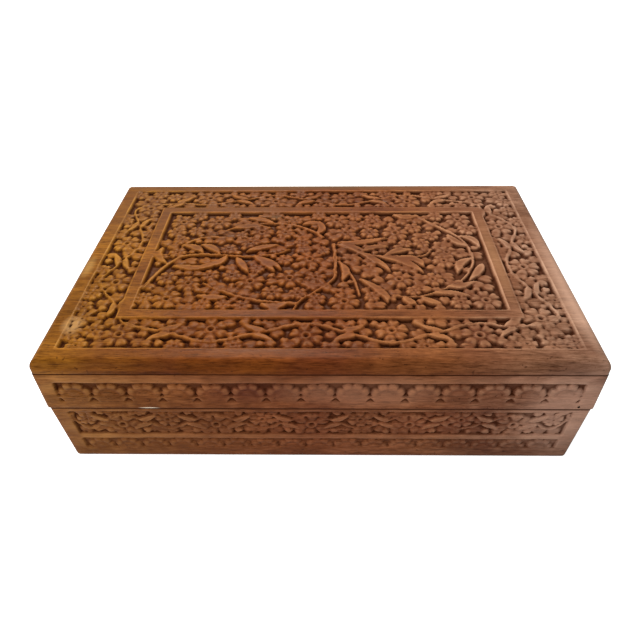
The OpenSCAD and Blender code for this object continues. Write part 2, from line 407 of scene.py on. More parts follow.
    # keep the depth, and how far each point stands above or below its surroundings
    kept = add(
        tree,
        "GeometryNodeStoreNamedAttribute",
        {"Name": "relief"},
        {"Geometry": (given, "Sheet"), "Value": masked},
    )
    around = add(
        tree, "GeometryNodeBlurAttribute", {"Iterations": 5}, {"Value": (reading("relief"), 0)}
    )
    over = add(
        tree,
        "ShaderNodeMath",
        {"operation": "SUBTRACT"},
        {0: (reading("relief"), 0), 1: around},
    )
    kept2 = add(
        tree,
        "GeometryNodeStoreNamedAttribute",
        {"Name": "cavity"},
        {"Geometry": kept, "Value": over},
    )
    wide = add(
        tree, "GeometryNodeBlurAttribute", {"Iterations": 30}, {"Value": (reading("relief"), 0)}
    )
    above = add(
        tree,
        "ShaderNodeMath",
        {"operation": "SUBTRACT"},
        {0: (reading("relief"), 0), 1: wide},
    )
    kept3 = add(
        tree,
        "GeometryNodeStoreNamedAttribute",
        {"Name": "rise"},
        {"Geometry": kept2, "Value": above},
    )
    normal = add(tree, "GeometryNodeInputNormal")
    push = add(
        tree,
        "ShaderNodeVectorMath",
        {"operation": "SCALE"},
        {0: normal, "Scale": (reading("relief"), 0)},
    )
    moved = add(tree, "GeometryNodeSetPosition", {}, {"Geometry": kept3, "Offset": push})
    real = add(tree, "GeometryNodeRealizeInstances", links={0: moved})
    done = add(
        tree,
        "GeometryNodeSetMaterial",
        {},
        {"Geometry": real, "Material": (given, "Finish")},
    )
    add(tree, "NodeGroupOutput", links={0: done})
    return tree


carver = carving_tree()
print("nodes in the carving tree:", len(carver.nodes))

# %% [markdown]
# Stems and leaves need a cross section to sweep: a stem is a steep ridge, and a leaf is scooped
# out between two raised edges. Both are drawn for a half width of one unit. Their lines are
# smooth curves through a few points, as a carver would pencil them on the board.

# %% Sections, smooth lines and layouts
STEM_SECTION = [(-1.3, -3.0), (-1.05, -1.1), (-0.6, -0.3), (0, 0), (0.6, -0.3), (1.05, -1.1)]
STEM_SECTION += [(1.3, -3.0)]
LEAF_SECTION = [(-1.15, -1.6), (-1, -0.1), (-0.86, 0), (-0.5, -0.6), (0, -0.8)]
LEAF_SECTION += [(0.5, -0.6), (0.86, 0), (1, -0.1), (1.15, -1.6)]
STEM_TOP = -0.6
LEAF_TOP = -0.2


def chain(count, first=0):
    return [(first + i, first + i + 1) for i in range(count - 1)]


def section_object(name, section):
    return mesh_object(name, [(x, y, 0) for x, y in section], chain(len(section)))


stem_section = section_object("stem section", STEM_SECTION)
leaf_section = section_object("leaf section", LEAF_SECTION)


def through(points, closed=False, pieces=7):
    """A smooth line through points, as an array of x and y."""
    p = np.array(points, float)
    if closed:
        p = np.vstack([p[-1:], p, p[:2]])
    else:
        p = np.vstack([2 * p[0] - p[1], p, 2 * p[-1] - p[-2]])
    line = []
    for a, b, c, d in zip(p[:-3], p[1:-2], p[2:-1], p[3:]):
        for t in np.arange(pieces) / pieces:
            line.append(
                0.5
                * (
                    2 * b
                    + (c - a) * t
                    + (2 * a - 5 * b + 4 * c - d) * t**2
                    + (3 * b - a - 3 * c + d) * t**3
                )
            )
    line.append(p[-2])
    return np.array(line)


def lines_object(name, lines, height):
    """lines: (smooth line, half width in mm, thin ends). Thin ends make a lens."""
    points, edges, halves = [], [], []
    for line, half, thin in lines:
        edges += chain(len(line), len(points))
        for i, (x, y) in enumerate(line):
            t = i / (len(line) - 1)
            swell = (0.12 + 0.88 * math.sin(math.pi * t) ** 0.8) if thin else 1 - 0.35 * t
            points.append((x * MM, y * MM, (height - (0.5 * (1 - swell) if thin else 0)) * MM))
            halves.append(half * swell * MM)
    return mesh_object(name, points, edges, values={"half": ("FLOAT", halves)})


def layout_object(name, marks):
    """marks: (punch, x, y, size, turn in degrees, and how much lower it lies), in millimetres."""
    return mesh_object(
        name,
        [(m[1] * MM, m[2] * MM, -sum(m[5:]) * MM) for m in marks],
        values={
            "kind": ("INT", [m[0] for m in marks]),
            "size": ("FLOAT", [m[3] for m in marks]),
            "turn": ("FLOAT", [math.radians(m[4]) for m in marks]),
        },
    )


def tray_object(name, across, up, deep):
    """The sunk ground: a grid on the given lines, deep(x, y) millimetres down."""
    points = [(x * MM, y * MM, -deep(x, y) * MM) for y in up for x in across]
    n = len(across)
    faces = []
    for j in range(len(up) - 1):
        for i in range(n - 1):
            a = j * n + i
            faces.append((a, a + 1, a + n + 1, a + n))
    return mesh_object(name, points, faces=faces)


# %% [markdown]
# ## What is carved on the lid
# A closed vine runs round the lid in a border. It passes its sixteen flowers on the inside and
# on the outside by turns, and each crossing leaves two corners, each with a long leaf and two
# buds. The panel has fronds that spring from one knot a little right of the middle, long
# stems, and flowers of many sizes. What ground is left is filled with small flowers and buds.

# %% The border: flowers, vine, leaves and buds
# x and y of each flower, and 1 where the vine passes outside it or -1 where it passes inside
BORDER_FLOWERS = [
    (-101, -70, -1), (-55, -66, 1), (-6, -70.5, -1), (37, -66.5, 1), (81, -70, -1),
    (115, -57, 1), (118, -11, -1), (114, 33, 1), (104, 71.5, -1), (59, 66, 1),
    (15, 70.5, -1), (-31, 66, 1), (-77, 71, -1), (-115, 57, 1), (-119.5, 14, -1),
    (-115, -26, 1),
]  # fmt: skip
BORDER_IN_X = 106.5
BORDER_IN_Y = 57.5
BORDER_OUT_X = half_x - 11
BORDER_OUT_Y = half_y - 11
PANEL_X = 99.5
PANEL_Y = 50.5
GROUND = 2.3
dice = random.Random(11)


def outward(x, y):
    """The border's outward direction beside a point."""
    past_x = abs(x) - BORDER_IN_X
    past_y = abs(y) - BORDER_IN_Y
    if past_x > 0 and past_y > 0:
        return np.array([math.copysign(0.7, x), math.copysign(0.7, y)])
    return np.array([math.copysign(1, x), 0.0] if past_x > 0 else [0.0, math.copysign(1, y)])


def trail(flowers, side_of, reach, closed):
    """The vine's line past flowers (x, y, side), and the middle of each crossing."""
    points, crossings = [], []
    count = len(flowers)
    for i, (x, y, side) in enumerate(flowers):
        here = np.array([x, y], float)
        points.append(here + side * reach * side_of(x, y))
        if closed or i < count - 1:
            after = np.array(flowers[(i + 1) % count][:2], float)
            middle = (here + after) / 2
            crossings.append((middle, (after - here) / np.linalg.norm(after - here), side))
            points.append(middle)
    return points, crossings


def fill_crossings(crossings, side_of, gap, size=1.0):
    """Two buds in each of the two corners that a crossing leaves open."""
    marks = []
    for middle, along, side in crossings:
        for way in (1, -1):
            out = way * side_of(*middle)
            forth = way * side * along
            centre = middle + out * gap + forth * gap * 0.75
            for outwards, forwards, share in ((2.4, 3.2, 0.95), (2.8, -2.6, 0.75)):
                bud = centre + out * outwards + forth * forwards
                marks.append((BUD, *bud, share * size, dice.uniform(0, 360)))
    return marks


def sprays(crossings, side_of, size=1.0):
    """A long leaf on each side of every crossing, curving from the vine into the open corner."""
    lines = []
    for middle, along, side in crossings:
        for way in (1, -1):
            forth = way * side * along * size
            out = way * side_of(*middle) * size
            line = [middle + a * forth + b * out for a, b in ((-3.5, 2.5), (2, 2.6), (8.5, 5.4))]
            lines.append((through(line), dice.uniform(1.5, 1.9) * size, True))
    return lines


vine, border_gaps = trail(BORDER_FLOWERS, outward, 9.0, True)
top_stems = [(through(vine, closed=True), 0.75, False)]
top_marks = [
    (FLOWER, x + dice.uniform(-0.3, 0.3), y, dice.uniform(1.0, 1.1), dice.uniform(0, 60))
    for x, y, side in BORDER_FLOWERS
]
top_marks += fill_crossings(border_gaps, outward, 5.2)
top_leaves = sprays(border_gaps, outward)
print("border:", len(top_marks), "punches")

# %% The panel: fronds, stems and flowers
# x, y and radius of each flower
PANEL_FLOWERS = [
    (-6, -3, 8), (13.5, -43, 8), (90, -42, 8), (-17, -22, 8), (-39, -25, 8), (45, -23, 7.5),
    (64, -23, 6), (73, -5, 6.5), (-74, -27, 7), (-87, -22, 6), (-83, -41, 8), (-63, -46, 5),
    (-26, -35, 6), (10.5, 41, 8), (-66, 39, 8), (-89, 39, 8), (-91, 27, 6), (-37, 27, 7.5),
    (-22, 26, 6), (-11, 15, 5.5), (16, 26, 6.5), (31, 26, 6), (47, 26, 8), (76, 4, 6.5),
    (89, 42, 8), (93, 30, 6), (75, 46, 5), (62, 14, 5), (76, -44, 5.5),
]  # fmt: skip
PANEL_BUDS = [
    (36, 35), (46, 36), (2, 15), (22, -3), (30, -9), (33, -14), (22, -13), (33, -23), (4, -30),
    (59, -32), (28, -47), (33, -46), (44, -48), (54, -48), (64, -48), (88, -28), (78, -27),
    (-56, -29), (-56, 19), (-34, 17), (-51, 42), (-5, -47), (0, -48), (14, -28),
]  # fmt: skip
PANEL_STEMS = [
    [(10, 13), (25, 3), (38, 0), (60, 0), (68, 8)],
    [(8, 14), (9, 0), (9, -12), (8, -22), (0, -32), (-10, -42), (-14, -50)],
    [(11, -5), (17, -17), (20, -25), (22, -38)],
    [(62, 48), (68, 40), (76, 32), (84, 23), (88, 16), (90, 8), (90, -5), (86, -15), (80, -24),
     (72, -30), (60, -37), (50, -39), (40, -38)],
    [(-99, -32), (-94, -18), (-88, -6), (-82, 0), (-70, 2), (-55, 1), (-40, 0), (-25, 3),
     (-18, 8)],
    [(-12, -45), (-22, -44), (-35, -42), (-46, -38), (-58, -32), (-66, -26)],
    [(2, 20), (-5, 28), (-14, 34), (-24, 37), (-38, 37), (-52, 34), (-60, 29)],
    [(-85, 10), (-78, 18), (-70, 21), (-58, 21)],
]  # fmt: skip
PANEL_LEAVES = [
    [(10, 15), (20, 14), (31, 16), (42, 20)], [(12, 13), (19, 10), (28, 5)],
    [(15, 10), (28, 0), (36, -8), (41, -16)], [(32, 0), (45, -4), (54, -10), (60, -17)],
    [(45, -1), (56, -4), (61, -11)], [(12, -7), (15, -15), (13, -25)],
    [(22, -22), (30, -30), (36, -38), (37, -44)], [(45, -40), (52, -46)],
    [(55, -39), (60, -43), (66, -45)], [(62, -36), (72, -36), (83, -39)],
    [(70, -30), (79, -30), (88, -25)], [(95, -8), (92, -14), (84, -25)],
    [(-50, -1), (-46, -8), (-41, -17)], [(-40, 0), (-33, -6), (-26, -16)],
    [(-36, -1), (-28, -7), (-22, -14)], [(-87, -10), (-75, -12), (-62, -11)],
    [(-45, 5), (-36, 9), (-25, 12)], [(-16, -44), (-24, -48), (-32, -45)],
    [(-50, -39), (-58, -40), (-68, -38)], [(-36, 34), (-46, 34), (-56, 31)],
    [(-12, 36), (-6, 38), (1, 37)], [(-30, 38), (-39, 42), (-48, 44)],
    [(-70, 3), (-76, 9), (-85, 12)], [(-60, 2), (-66, 9), (-74, 12)],
    [(-55, 1), (-60, -7), (-70, -10)], [(86, 22), (94, 18), (97, 9)],
    [(89, 10), (83, 16), (79, 24)], [(90, -2), (82, -8), (79, -17)],
    [(24, 4), (32, 9), (42, 10)], [(38, 0), (46, 5), (56, 7)], [(64, 46), (55, 45), (47, 48)],
    [(-2, 24), (1, 31), (-1, 40)], [(-90, -8), (-97, 0), (-96, 10)],
]  # fmt: skip

panel_lines = [(through(line), 0.8, False) for line in PANEL_STEMS]
panel_leaves = [(through(line), dice.uniform(1.8, 2.3), True) for line in PANEL_LEAVES]
top_marks += [(FLOWER, x, y, r / 8, dice.uniform(0, 60)) for x, y, r in PANEL_FLOWERS]
top_marks += [(BUD, x, y, dice.uniform(0.9, 1.15), dice.uniform(0, 360)) for x, y in PANEL_BUDS]

# %% [markdown]
# The rest of the ground is filled by a rule: try a random place, keep it if it is clear of what
# is there already, and give it a small flower or a bud. The draws are seeded, so the box stays
# the same.

# %% Filling the rest of the ground
# the room that a flower and a bud of size 1 take up, as a radius
TAKEN = {FLOWER: 8.0, BUD: 2.8}
# fillers, biggest first: the punch, the clear room it needs around it, and its size
FILLERS = (
    (FLOWER, 4.8, 0.7), (FLOWER, 4.0, 0.6), (BUD, 2.7, 1.3), (BUD, 2.2, 1.15),
    (BUD, 1.9, 1.0), (BUD, 1.6, 0.9), (BUD, 1.2, 0.7),
)  # fmt: skip


def fill_ground(marks, lines, low, high, tries, seed):
    """More flowers and buds inside a rectangle; returns marks with the new ones added."""
    draw = random.Random(seed)
    taken = [(m[1], m[2], TAKEN[m[0]] * m[3]) for m in marks]
    for line, half, _ in lines:
        taken += [(x, y, half) for x, y in line]
    taken = np.array(taken)
    for i in range(tries):
        x = draw.uniform(low[0], high[0])
        y = draw.uniform(low[1], high[1])
        kind, room, size = FILLERS[min(int(i * len(FILLERS) / tries), len(FILLERS) - 1)]
        away = np.hypot(taken[:, 0] - x, taken[:, 1] - y) - taken[:, 2]
        if np.min(away) > room:
            nearest = taken[np.argmin(away)]
            turn = math.degrees(math.atan2(y - nearest[1], x - nearest[0]))
            turn += draw.uniform(-25, 25)
            marks = marks + [(kind, x, y, size * draw.uniform(0.9, 1.1), turn, 0.3)]
            taken = np.vstack([taken, [x, y, room * 1.15]])
    return marks


top_leaves += panel_leaves
top_lines = top_stems + panel_lines + top_leaves
top_marks = fill_ground(top_marks, top_lines, (-96, -47.5), (96, 47.5), 9000, 3)
for low_xy, high_xy, seed in (
    ((-127, -78), (127, -59.5), 4),
    ((-127, 59.5), (127, 78), 5),
    ((-127, -60), (-108.5, 60), 6),
    ((108.5, -60), (127, 60), 7),
):
    top_marks = fill_ground(top_marks, top_lines, low_xy, high_xy, 2500, seed)
print("lid:", len(top_marks), "punches,", len(top_lines), "stems and leaves")

# %% The mould of the lid
SLOPE = 0.7


def steps(*lines):
    """Grid lines at each given line and just inside it, both ways from the middle."""
    half = sorted({v for a, b in lines for v in (a, b)})
    return [-v for v in reversed(half)] + half


def top_depth(x, y):
    x, y = abs(x), abs(y)
    in_panel = x < PANEL_X - 0.1 and y < PANEL_Y - 0.1
    in_border = x < BORDER_OUT_X - 0.1 and y < BORDER_OUT_Y - 0.1
    past_band = x > BORDER_IN_X + 0.1 or y > BORDER_IN_Y + 0.1
    return GROUND if in_panel or (in_border and past_band) else 0.0


top_tray = tray_object(
    "tray of the lid",
    steps((PANEL_X - SLOPE, PANEL_X), (BORDER_IN_X, BORDER_IN_X + SLOPE),
          (BORDER_OUT_X - SLOPE, BORDER_OUT_X), (half_x, half_x + 5)),
    steps((PANEL_Y - SLOPE, PANEL_Y), (BORDER_IN_Y, BORDER_IN_Y + SLOPE),
          (BORDER_OUT_Y - SLOPE, BORDER_OUT_Y), (half_y, half_y + 5)),
    top_depth,
)  # fmt: skip
top_mould = {
    "Tray": top_tray,
    "Layout": layout_object("layout of the lid", top_marks),
    "Stems": lines_object("stems of the lid", top_stems + panel_lines, STEM_TOP),
    "Leaves": lines_object("leaves of the lid", top_leaves, LEAF_TOP),
}

# %% [markdown]
# ## The finish: waxed sheesham
# Sheesham is golden to purple brown, with darker streaks along the grain and open pores that
# show as short dark dashes. It is sanded, oiled and waxed by hand, so flat parts have a satin
# gloss and the wax dulls in the cuts. The cuts are darkened with painted shade and with dust and
# old wax, and the high parts of the petals are painted lighter, as wood lighter from rubbing and
# as a painted highlight. For that, the carving tree leaves three values on each point of the
# mesh: how deep it lies, and how far it stands above what is near it and what is further off.

# %% Wood, cut along X or along Y


def ramp(tree, source, stops):
    """A colour ramp over source, with stops of (place, colour code)."""
    node = add(tree, "ShaderNodeValToRGB", links={0: source})
    marks = node.color_ramp.elements
    while len(marks) < len(stops):
        marks.new(0.5)
    for mark, (place, code) in zip(marks, stops):
        mark.position = place
        mark.color = colour(code)
    return node


def mix(tree, share, first, second, blend="MIX"):
    """A colour mix; share, first and second are nodes, or colour codes, or a number."""
    node = add(tree, "ShaderNodeMix", {"data_type": "RGBA", "blend_type": blend})
    for index, value in ((0, share), (6, first), (7, second)):
        if isinstance(value, str):
            node.inputs[index].default_value = colour(value)
        elif isinstance(value, (int, float)):
            node.inputs[index].default_value = value
        else:
            source = value if isinstance(value, tuple) else (value, 0)
            tree.links.new(source[0].outputs[source[1]], node.inputs[index])
    return (node, 2)


def spread(tree, source, low, high, out_low=0.0, out_high=1.0):
    """A value from low..high laid on out_low..out_high, and held there."""
    source = source if isinstance(source, tuple) else (source, 0)
    return add(
        tree,
        "ShaderNodeMapRange",
        {"From Min": low, "From Max": high, "To Min": out_low, "To Max": out_high},
        {"Value": source},
    )


def noise(tree, place, size_mm, detail=3.0, roughness=0.5, distortion=0.0):
    """Noise whose blotches are about size_mm across."""
    settings = {"Scale": 1 / (size_mm * MM), "Detail": detail, "Roughness": roughness}
    settings["Distortion"] = distortion
    return add(tree, "ShaderNodeTexNoise", settings, {"Vector": place})


def spot(tree, place, waves, middle, radii, strength):
    """A patch round middle in millimetres, with an edge that waves."""
    inverse = tuple(1 / (r * MM) for r in radii)
    off = add(
        tree,
        "ShaderNodeVectorMath",
        {"operation": "SUBTRACT", 1: tuple(v * MM for v in middle)},
        {0: (place, "Object")},
    )
    scaled = add(tree, "ShaderNodeVectorMath", {"operation": "MULTIPLY", 1: inverse}, {0: off})
    far = add(tree, "ShaderNodeVectorMath", {"operation": "LENGTH"}, {0: scaled})
    ragged = add(tree, "ShaderNodeMath", {"operation": "ADD"}, {0: (far, "Value"), 1: (waves, 0)})
    return spread(tree, ragged, 1.5, 0.8, 0.0, strength)


def sheesham(name, turn=0.0, shift=(0.0, 0.0, 0.0), blush=0.0):
    wood = bpy.data.materials.new(name)
    wood.use_nodes = True
    tree = wood.node_tree
    skin = tree.nodes["Principled BSDF"]
    place = add(tree, "ShaderNodeTexCoord")
    grain = add(
        tree,
        "ShaderNodeMapping",
        {"Location": shift, "Rotation": (0.03, 0.02, math.radians(turn) + 0.035)},
        {"Vector": (place, "Object")},
    )
    # wood stretches every pattern along the grain: streaks, bands and pores
    long = add(tree, "ShaderNodeVectorMath", {"operation": "MULTIPLY", 1: (0.16, 1, 1)}, {0: grain})
    longer = add(
        tree, "ShaderNodeVectorMath", {"operation": "MULTIPLY", 1: (0.045, 1, 1)}, {0: grain}
    )
    bands = noise(tree, long, 13.0, 5.0, 0.6, 1.1)
    streaks = noise(tree, longer, 3.2, 5.0, 0.62, 0.3)
    patches = noise(tree, grain, 48.0, 3.0)
    specks = noise(tree, grain, 3.0, 2.0, 0.7)
    pores = noise(tree, longer, 0.55, 2.0, 0.6)
    # the left end is golden, the middle a red brown, and the right end has a rosy cast, partly the wood's
    # own and partly a painted sheen of the light
    sides = add(tree, "ShaderNodeSeparateXYZ", links={0: (place, "Object")})
    tone_and_sheen = ramp(tree, spread(tree, (sides, 0), -0.14, 0.14), TONES_AND_SHEEN)
    tone_and_sheen = mix(tree, blush, tone_and_sheen, WOOD_BLUSH)
    toned = mix(tree, 1.0, tone_and_sheen, ramp(tree, bands, FIGURE), "MULTIPLY")
    smoke = spread(tree, patches, 0.45, 0.75, 0.0, 0.6)
    smoked = mix(tree, smoke, toned, WOOD_PURPLE)
    lines = spread(tree, streaks, 0.38, 0.66, 0.0, 1.0)
    lined = mix(tree, 0.42, smoked, ramp(tree, lines, [(0.0, "6E5A50"), (1.0, "A8988C")]), "OVERLAY")
    dashes = spread(tree, pores, 0.57, 0.68, 0.0, 0.6)
    dotted = mix(tree, spread(tree, specks, 0.66, 0.72, 0.0, 0.6), lined, WOOD_PORE)
    pored = mix(tree, dashes, dotted, WOOD_PORE)
    mottle = noise(tree, long, 1.2, 4.0, 0.75)
    grained = mix(tree, 1.0, pored, ramp(tree, mottle, MOTTLE), "MULTIPLY")
    # the figure of this plank: pale sapwood, a small knot, a purple stain; with it painted highlights on
    # the right edge and on the front, and painted shade towards the back
    figured_and_lit = grained
    for middle, radii, code, strength in FIGURES_AND_PAINTED_LIGHT:
        figured_and_lit = mix(tree, spot(tree, place, patches, middle, radii, strength), figured_and_lit, code)
    # cuts are darkened with painted shade and with old wax; what stands out is painted lighter, as wood
    # lighter from rubbing and as a painted highlight
    cavity = add(tree, "ShaderNodeAttribute", {"attribute_name": "cavity"})
    rise = add(tree, "ShaderNodeAttribute", {"attribute_name": "rise"})
    relief = add(tree, "ShaderNodeAttribute", {"attribute_name": "relief"})
    # painted highlight on what stands above its surroundings, with the wood lighter from rubbing
    worn_and_highlit = spread(tree, (rise, "Fac"), 0.05 * MM, 0.7 * MM, 0.0, 0.6)
    rubbed_and_highlit = mix(tree, worn_and_highlit, figured_and_lit, mix(tree, 1.0, tone_and_sheen, WOOD_WORN_AND_HIGHLIGHT, "SCREEN"))
    # painted shade on what lies below its surroundings
    low = spread(tree, (rise, "Fac"), -0.1 * MM, -1.0 * MM, 0.0, 0.75)
    sunk = mix(tree, low, rubbed_and_highlit, WOOD_SHADE)
    # painted shade in the deep ground and in the hollows
    deep = spread(tree, (relief, "Fac"), -0.8 * MM, -1.9 * MM, 0.0, 0.6)
    deeper = mix(tree, deep, sunk, WOOD_CUT_SHADE_AND_DIRT)
    # painted shade in the crevices, with old wax in them
    dark = spread(tree, (cavity, "Fac"), -0.04 * MM, -0.4 * MM, 0.0, 0.75)
    cut = mix(tree, dark, deeper, WOOD_CUT_SHADE_AND_DIRT)
    # the joints between board, rim and base are darkened with painted shade and with dirt
    shaded_and_dirtied = cut
    for level, reach in ((rim_bottom - 0.55, 1.25), (board_under, 0.45)):
        off = add(tree, "ShaderNodeMath", {"operation": "SUBTRACT", 1: level * MM}, {0: (sides, 2)})
        away = add(tree, "ShaderNodeMath", {"operation": "ABSOLUTE"}, {0: off})
        joint_shade_and_dirt = spread(tree, away, reach * MM, 0.5 * reach * MM, 0.0, 0.9)
        shaded_and_dirtied = mix(tree, joint_shade_and_dirt, shaded_and_dirtied, WOOD_CUT_SHADE_AND_DIRT)
    # a painted highlight: a pale gleam on the base's upper edge at the seam
    shaded_and_dirtied = mix(tree, spot(tree, place, patches, SEAM_HIGHLIGHT[0], SEAM_HIGHLIGHT[1], SEAM_HIGHLIGHT[3]), shaded_and_dirtied, SEAM_HIGHLIGHT[2])
    tree.links.new(shaded_and_dirtied[0].outputs[shaded_and_dirtied[1]], skin.inputs["Base Color"])
    gloss = spread(tree, streaks, 0.3, 0.7, 0.44, 0.6)
    rough = add(tree, "ShaderNodeMath", {"operation": "ADD"}, {0: gloss, 1: dark})
    held = spread(tree, rough, 0.0, 1.2, 0.0, 0.9)
    tree.links.new(held.outputs[0], skin.inputs["Roughness"])
    skin.inputs["Specular IOR Level"].default_value = 0.06
    skin.inputs["Specular Tint"].default_value = colour("C48C5C")
    # the grain that fingers feel, a tenth of a millimetre deep, and faint tool marks
    tools = noise(tree, grain, 5.0, 3.0, 0.6)
    felt = add(tree, "ShaderNodeMath", {"operation": "MULTIPLY", 1: 0.6}, {0: pores})
    shape = add(tree, "ShaderNodeMath", {"operation": "SUBTRACT"}, {0: tools, 1: felt})
    bump = add(tree, "ShaderNodeBump", {"Strength": 0.5, "Distance": 0.35 * MM}, {"Height": shape})
    tree.links.new(bump.outputs[0], skin.inputs["Normal"])
    return wood


# tones along the box from left to right; the pale rosy right end is partly a painted sheen
TONES_AND_SHEEN = ((0.0, "A47328"), (0.28, "8C531E"), (0.5, "864C22"), (0.72, "9A663F"), (1.0, "AB8C78"))
FIGURE = ((0.28, "AC9C90"), (0.42, "CABFB6"), (0.56, "E4DCD6"), (0.72, "FFFCF8"))
MOTTLE = ((0.3, "A89E96"), (0.45, "DAD4CE"), (0.62, "FFFFFF"))
# patches of the planks' own figure, and of painted highlight and painted shade: middle, radii, colour and
# strength
FIGURES_AND_PAINTED_LIGHT = (
    ((-127, -63, 77), (6, 8, 9), "B08A5A", 0.5),
    ((-135, -12, 78), (4, 12, 9), "B08A50", 0.35),
    ((-30, 45, 78), (5, 3.5, 6), "2B2414", 0.75),
    ((-34, -91, 58), (26, 12, 10), "4A241C", 0.5),
    ((60, -91, 30), (40, 12, 14), "6A3626", 0.25),
    ((103, 0, 78.5), (5, 52, 2.2), "BE9468", 0.35),
    # a painted highlight: the pale reflection on the rounded right edge of the lid
    ((137, -30, 77), (9, 70, 12), "BE9A84", 0.55),
    # the pale rosy front right of the base: partly the wood's tone, partly a painted sheen
    ((130, -92, 40), (36, 12, 42), "B08A76", 0.35),
    # the pale front rim: partly the wood's pink tone, partly painted glints on the fans
    ((28, -92, 57), (60, 12, 12), "A87A60", 0.25),
    # painted shade: the back margin and the back left of the lid are darker, where less light falls
    ((-20, 87, 78), (150, 7, 6), "54402C", 0.75),
    ((-78, 60, 77), (120, 50, 14), "5A3A22", 0.55),
    ((78, 15, 76), (80, 90, 14), "663C26", 0.5),
    ((-105, -92, 22), (80, 14, 30), "5A341E", 0.45),
    ((34, 5, 77), (40, 11, 9), "3E2216", 0.45),
    ((-62, 9, 77), (36, 8, 9), "3E2216", 0.45),
)
# a painted highlight, a pale gleam on the upper edge of the base at the seam, in the same form
SEAM_HIGHLIGHT = ((-87, -91, 45.1), (6, 4, 0.7), "EADCC4", 0.85)
WOOD_BLUSH = "AE8070"
WOOD_PURPLE = "54271C"
WOOD_PORE = "2C1206"
# the next two are painted shade, for what lies low and for crevices, deep ground and joints, the second
# also old wax and dirt; the last lightens what stands out, as rubbing and as a painted highlight
WOOD_SHADE = "4A240F"
WOOD_CUT_SHADE_AND_DIRT = "2A1006"
WOOD_WORN_AND_HIGHLIGHT = "3C2A1A"
wood_board = sheesham("waxed sheesham, lid board")
wood_front = sheesham("waxed sheesham, front boards", shift=(0.31, 0.07, 0.02), blush=0.2)
wood_back = sheesham("waxed sheesham, back boards", shift=(-0.27, 0.13, 0.11))
wood_sides = sheesham("waxed sheesham, side boards", turn=90, shift=(0.12, 0.4, 0.3))
print("wood nodes:", len(wood_board.node_tree.nodes))

# %% [markdown]
# ## Carving a piece
# One call gives a sheet its carving: it sets the tree's inputs by their identifiers, lets
# Blender evaluate it once, and keeps the result as a plain mesh without the modifier.

# %% Carve and keep


def keep_result(piece):
    """Replace the piece's mesh by what its modifiers make, and drop them."""
    bpy.context.view_layer.update()
    seen = bpy.context.evaluated_depsgraph_get()
    made = bpy.data.meshes.new_from_object(
        piece.evaluated_get(seen), preserve_all_data_layers=True, depsgraph=seen
    )
    piece.modifiers.clear()
    piece.data = made


def carve(piece, mould, finish, wander=0.9, soft=1, gouge=0.5, seed=0.0):
    cutter = piece.modifiers.new("carve", "NODES")
    given = {
        **mould,
        "Punches": punches,
        "Stem section": stem_section,
        "Leaf section": leaf_section,
        "Wander": wander * MM,
        "Wander size": 90.0,
        "Softening": soft,
        "Gouge depth": gouge * MM,
        "Gouge size": 420.0,
        "Seed": seed,
        "Finish": finish,
    }
    cutter.node_group = carver
    for item in carver.interface.items_tree:
        if item.in_out == "INPUT" and item.name in given:
            cutter[item.identifier] = given[item.name]
    keep_result(piece)
    depth = np.zeros(len(piece.data.vertices), np.float32)
    piece.data.attributes["relief"].data.foreach_get("value", depth)
    print(piece.name, "faces", len(piece.data.polygons), "deepest", round(depth.min() / MM, 2))
    return piece


# %% [markdown]
# ## The lid board
# The board is one plank, but a mesh of it all would be heavy, so it is made as three closed
# pieces: the plain body with its rounded edges, and two fine sheets that lie in it, the border
# and the panel. Each sheet reaches a millimetre into the flat wood, where both are level.

# %% Loops of rounded rectangles, and the plain body of the board


def loop_points(reach_x, reach_y, corner, height, bends=6, centre=(0.0, 0.0)):
    """A rounded rectangle, anticlockwise, as points in millimetres."""
    corner = max(corner, 0.02)
    points = []
    for start, sx, sy in ((0, 1, 1), (90, -1, 1), (180, -1, -1), (270, 1, -1)):
        for step in range(bends + 1):
            angle = math.radians(start + 90 * step / bends)
            x = centre[0] + sx * (reach_x - corner) + corner * math.cos(angle)
            y = centre[1] + sy * (reach_y - corner) + corner * math.sin(angle)
            points.append((x, y, height))
    return points


def stack(name, loops, closed=False, centre=(0.0, 0.0)):
    """A skin over loops of (half x, half y, corner, height), listed from the underside
    outwards and up; ends are capped unless the last loop joins the first."""
    points = []
    for loop in loops:
        points += loop_points(*loop, centre=centre)
    n = len(points) // len(loops)
    faces = []
    count = len(loops)
    for level in range(count if closed else count - 1):
        low = level * n
        high = ((level + 1) % count) * n
        for i in range(n):
            j = (i + 1) % n
            faces.append((low + i, low + j, high + j, high + i))
    if not closed:
        faces.append(tuple(reversed(range(n))))
        faces.append(tuple(range((count - 1) * n, count * n)))
    return mesh_object(name, [(x * MM, y * MM, z * MM) for x, y, z in points], faces=faces)


EDGE = 5.0
CORNER = 2.5
SHEET_DEPTH = 3.8
OVERLAP = 1.0
floor_z = top - SHEET_DEPTH
board_loops = [
    (half_x - 0.8, half_y - 0.8, CORNER - 0.8, board_under),
    (half_x - 0.2, half_y - 0.2, CORNER - 0.2, board_under + 0.2),
    (half_x, half_y, CORNER, board_under + 0.8),
]
for step in range(9):
    angle = math.radians(90 * step / 8)
    inset = EDGE * (1 - math.cos(angle))
    height = top - EDGE + EDGE * math.sin(angle)
    board_loops.append((half_x - inset, half_y - inset, max(CORNER - inset * 0.4, 0.5), height))
for reach_x, reach_y, height in (
    (BORDER_OUT_X + OVERLAP, BORDER_OUT_Y + OVERLAP, top),
    (BORDER_OUT_X + OVERLAP, BORDER_OUT_Y + OVERLAP, floor_z),
    (BORDER_IN_X - OVERLAP, BORDER_IN_Y - OVERLAP, floor_z),
    (BORDER_IN_X - OVERLAP, BORDER_IN_Y - OVERLAP, top),
    (PANEL_X + OVERLAP, PANEL_Y + OVERLAP, top),
    (PANEL_X + OVERLAP, PANEL_Y + OVERLAP, floor_z),
):
    board_loops.append((reach_x, reach_y, 0.02, height))
lid_board = stack("lid_board", board_loops)
lid_board.data.materials.append(wood_board)
print("board faces", len(lid_board.data.polygons))

# %% A fine sheet that becomes a closed slab


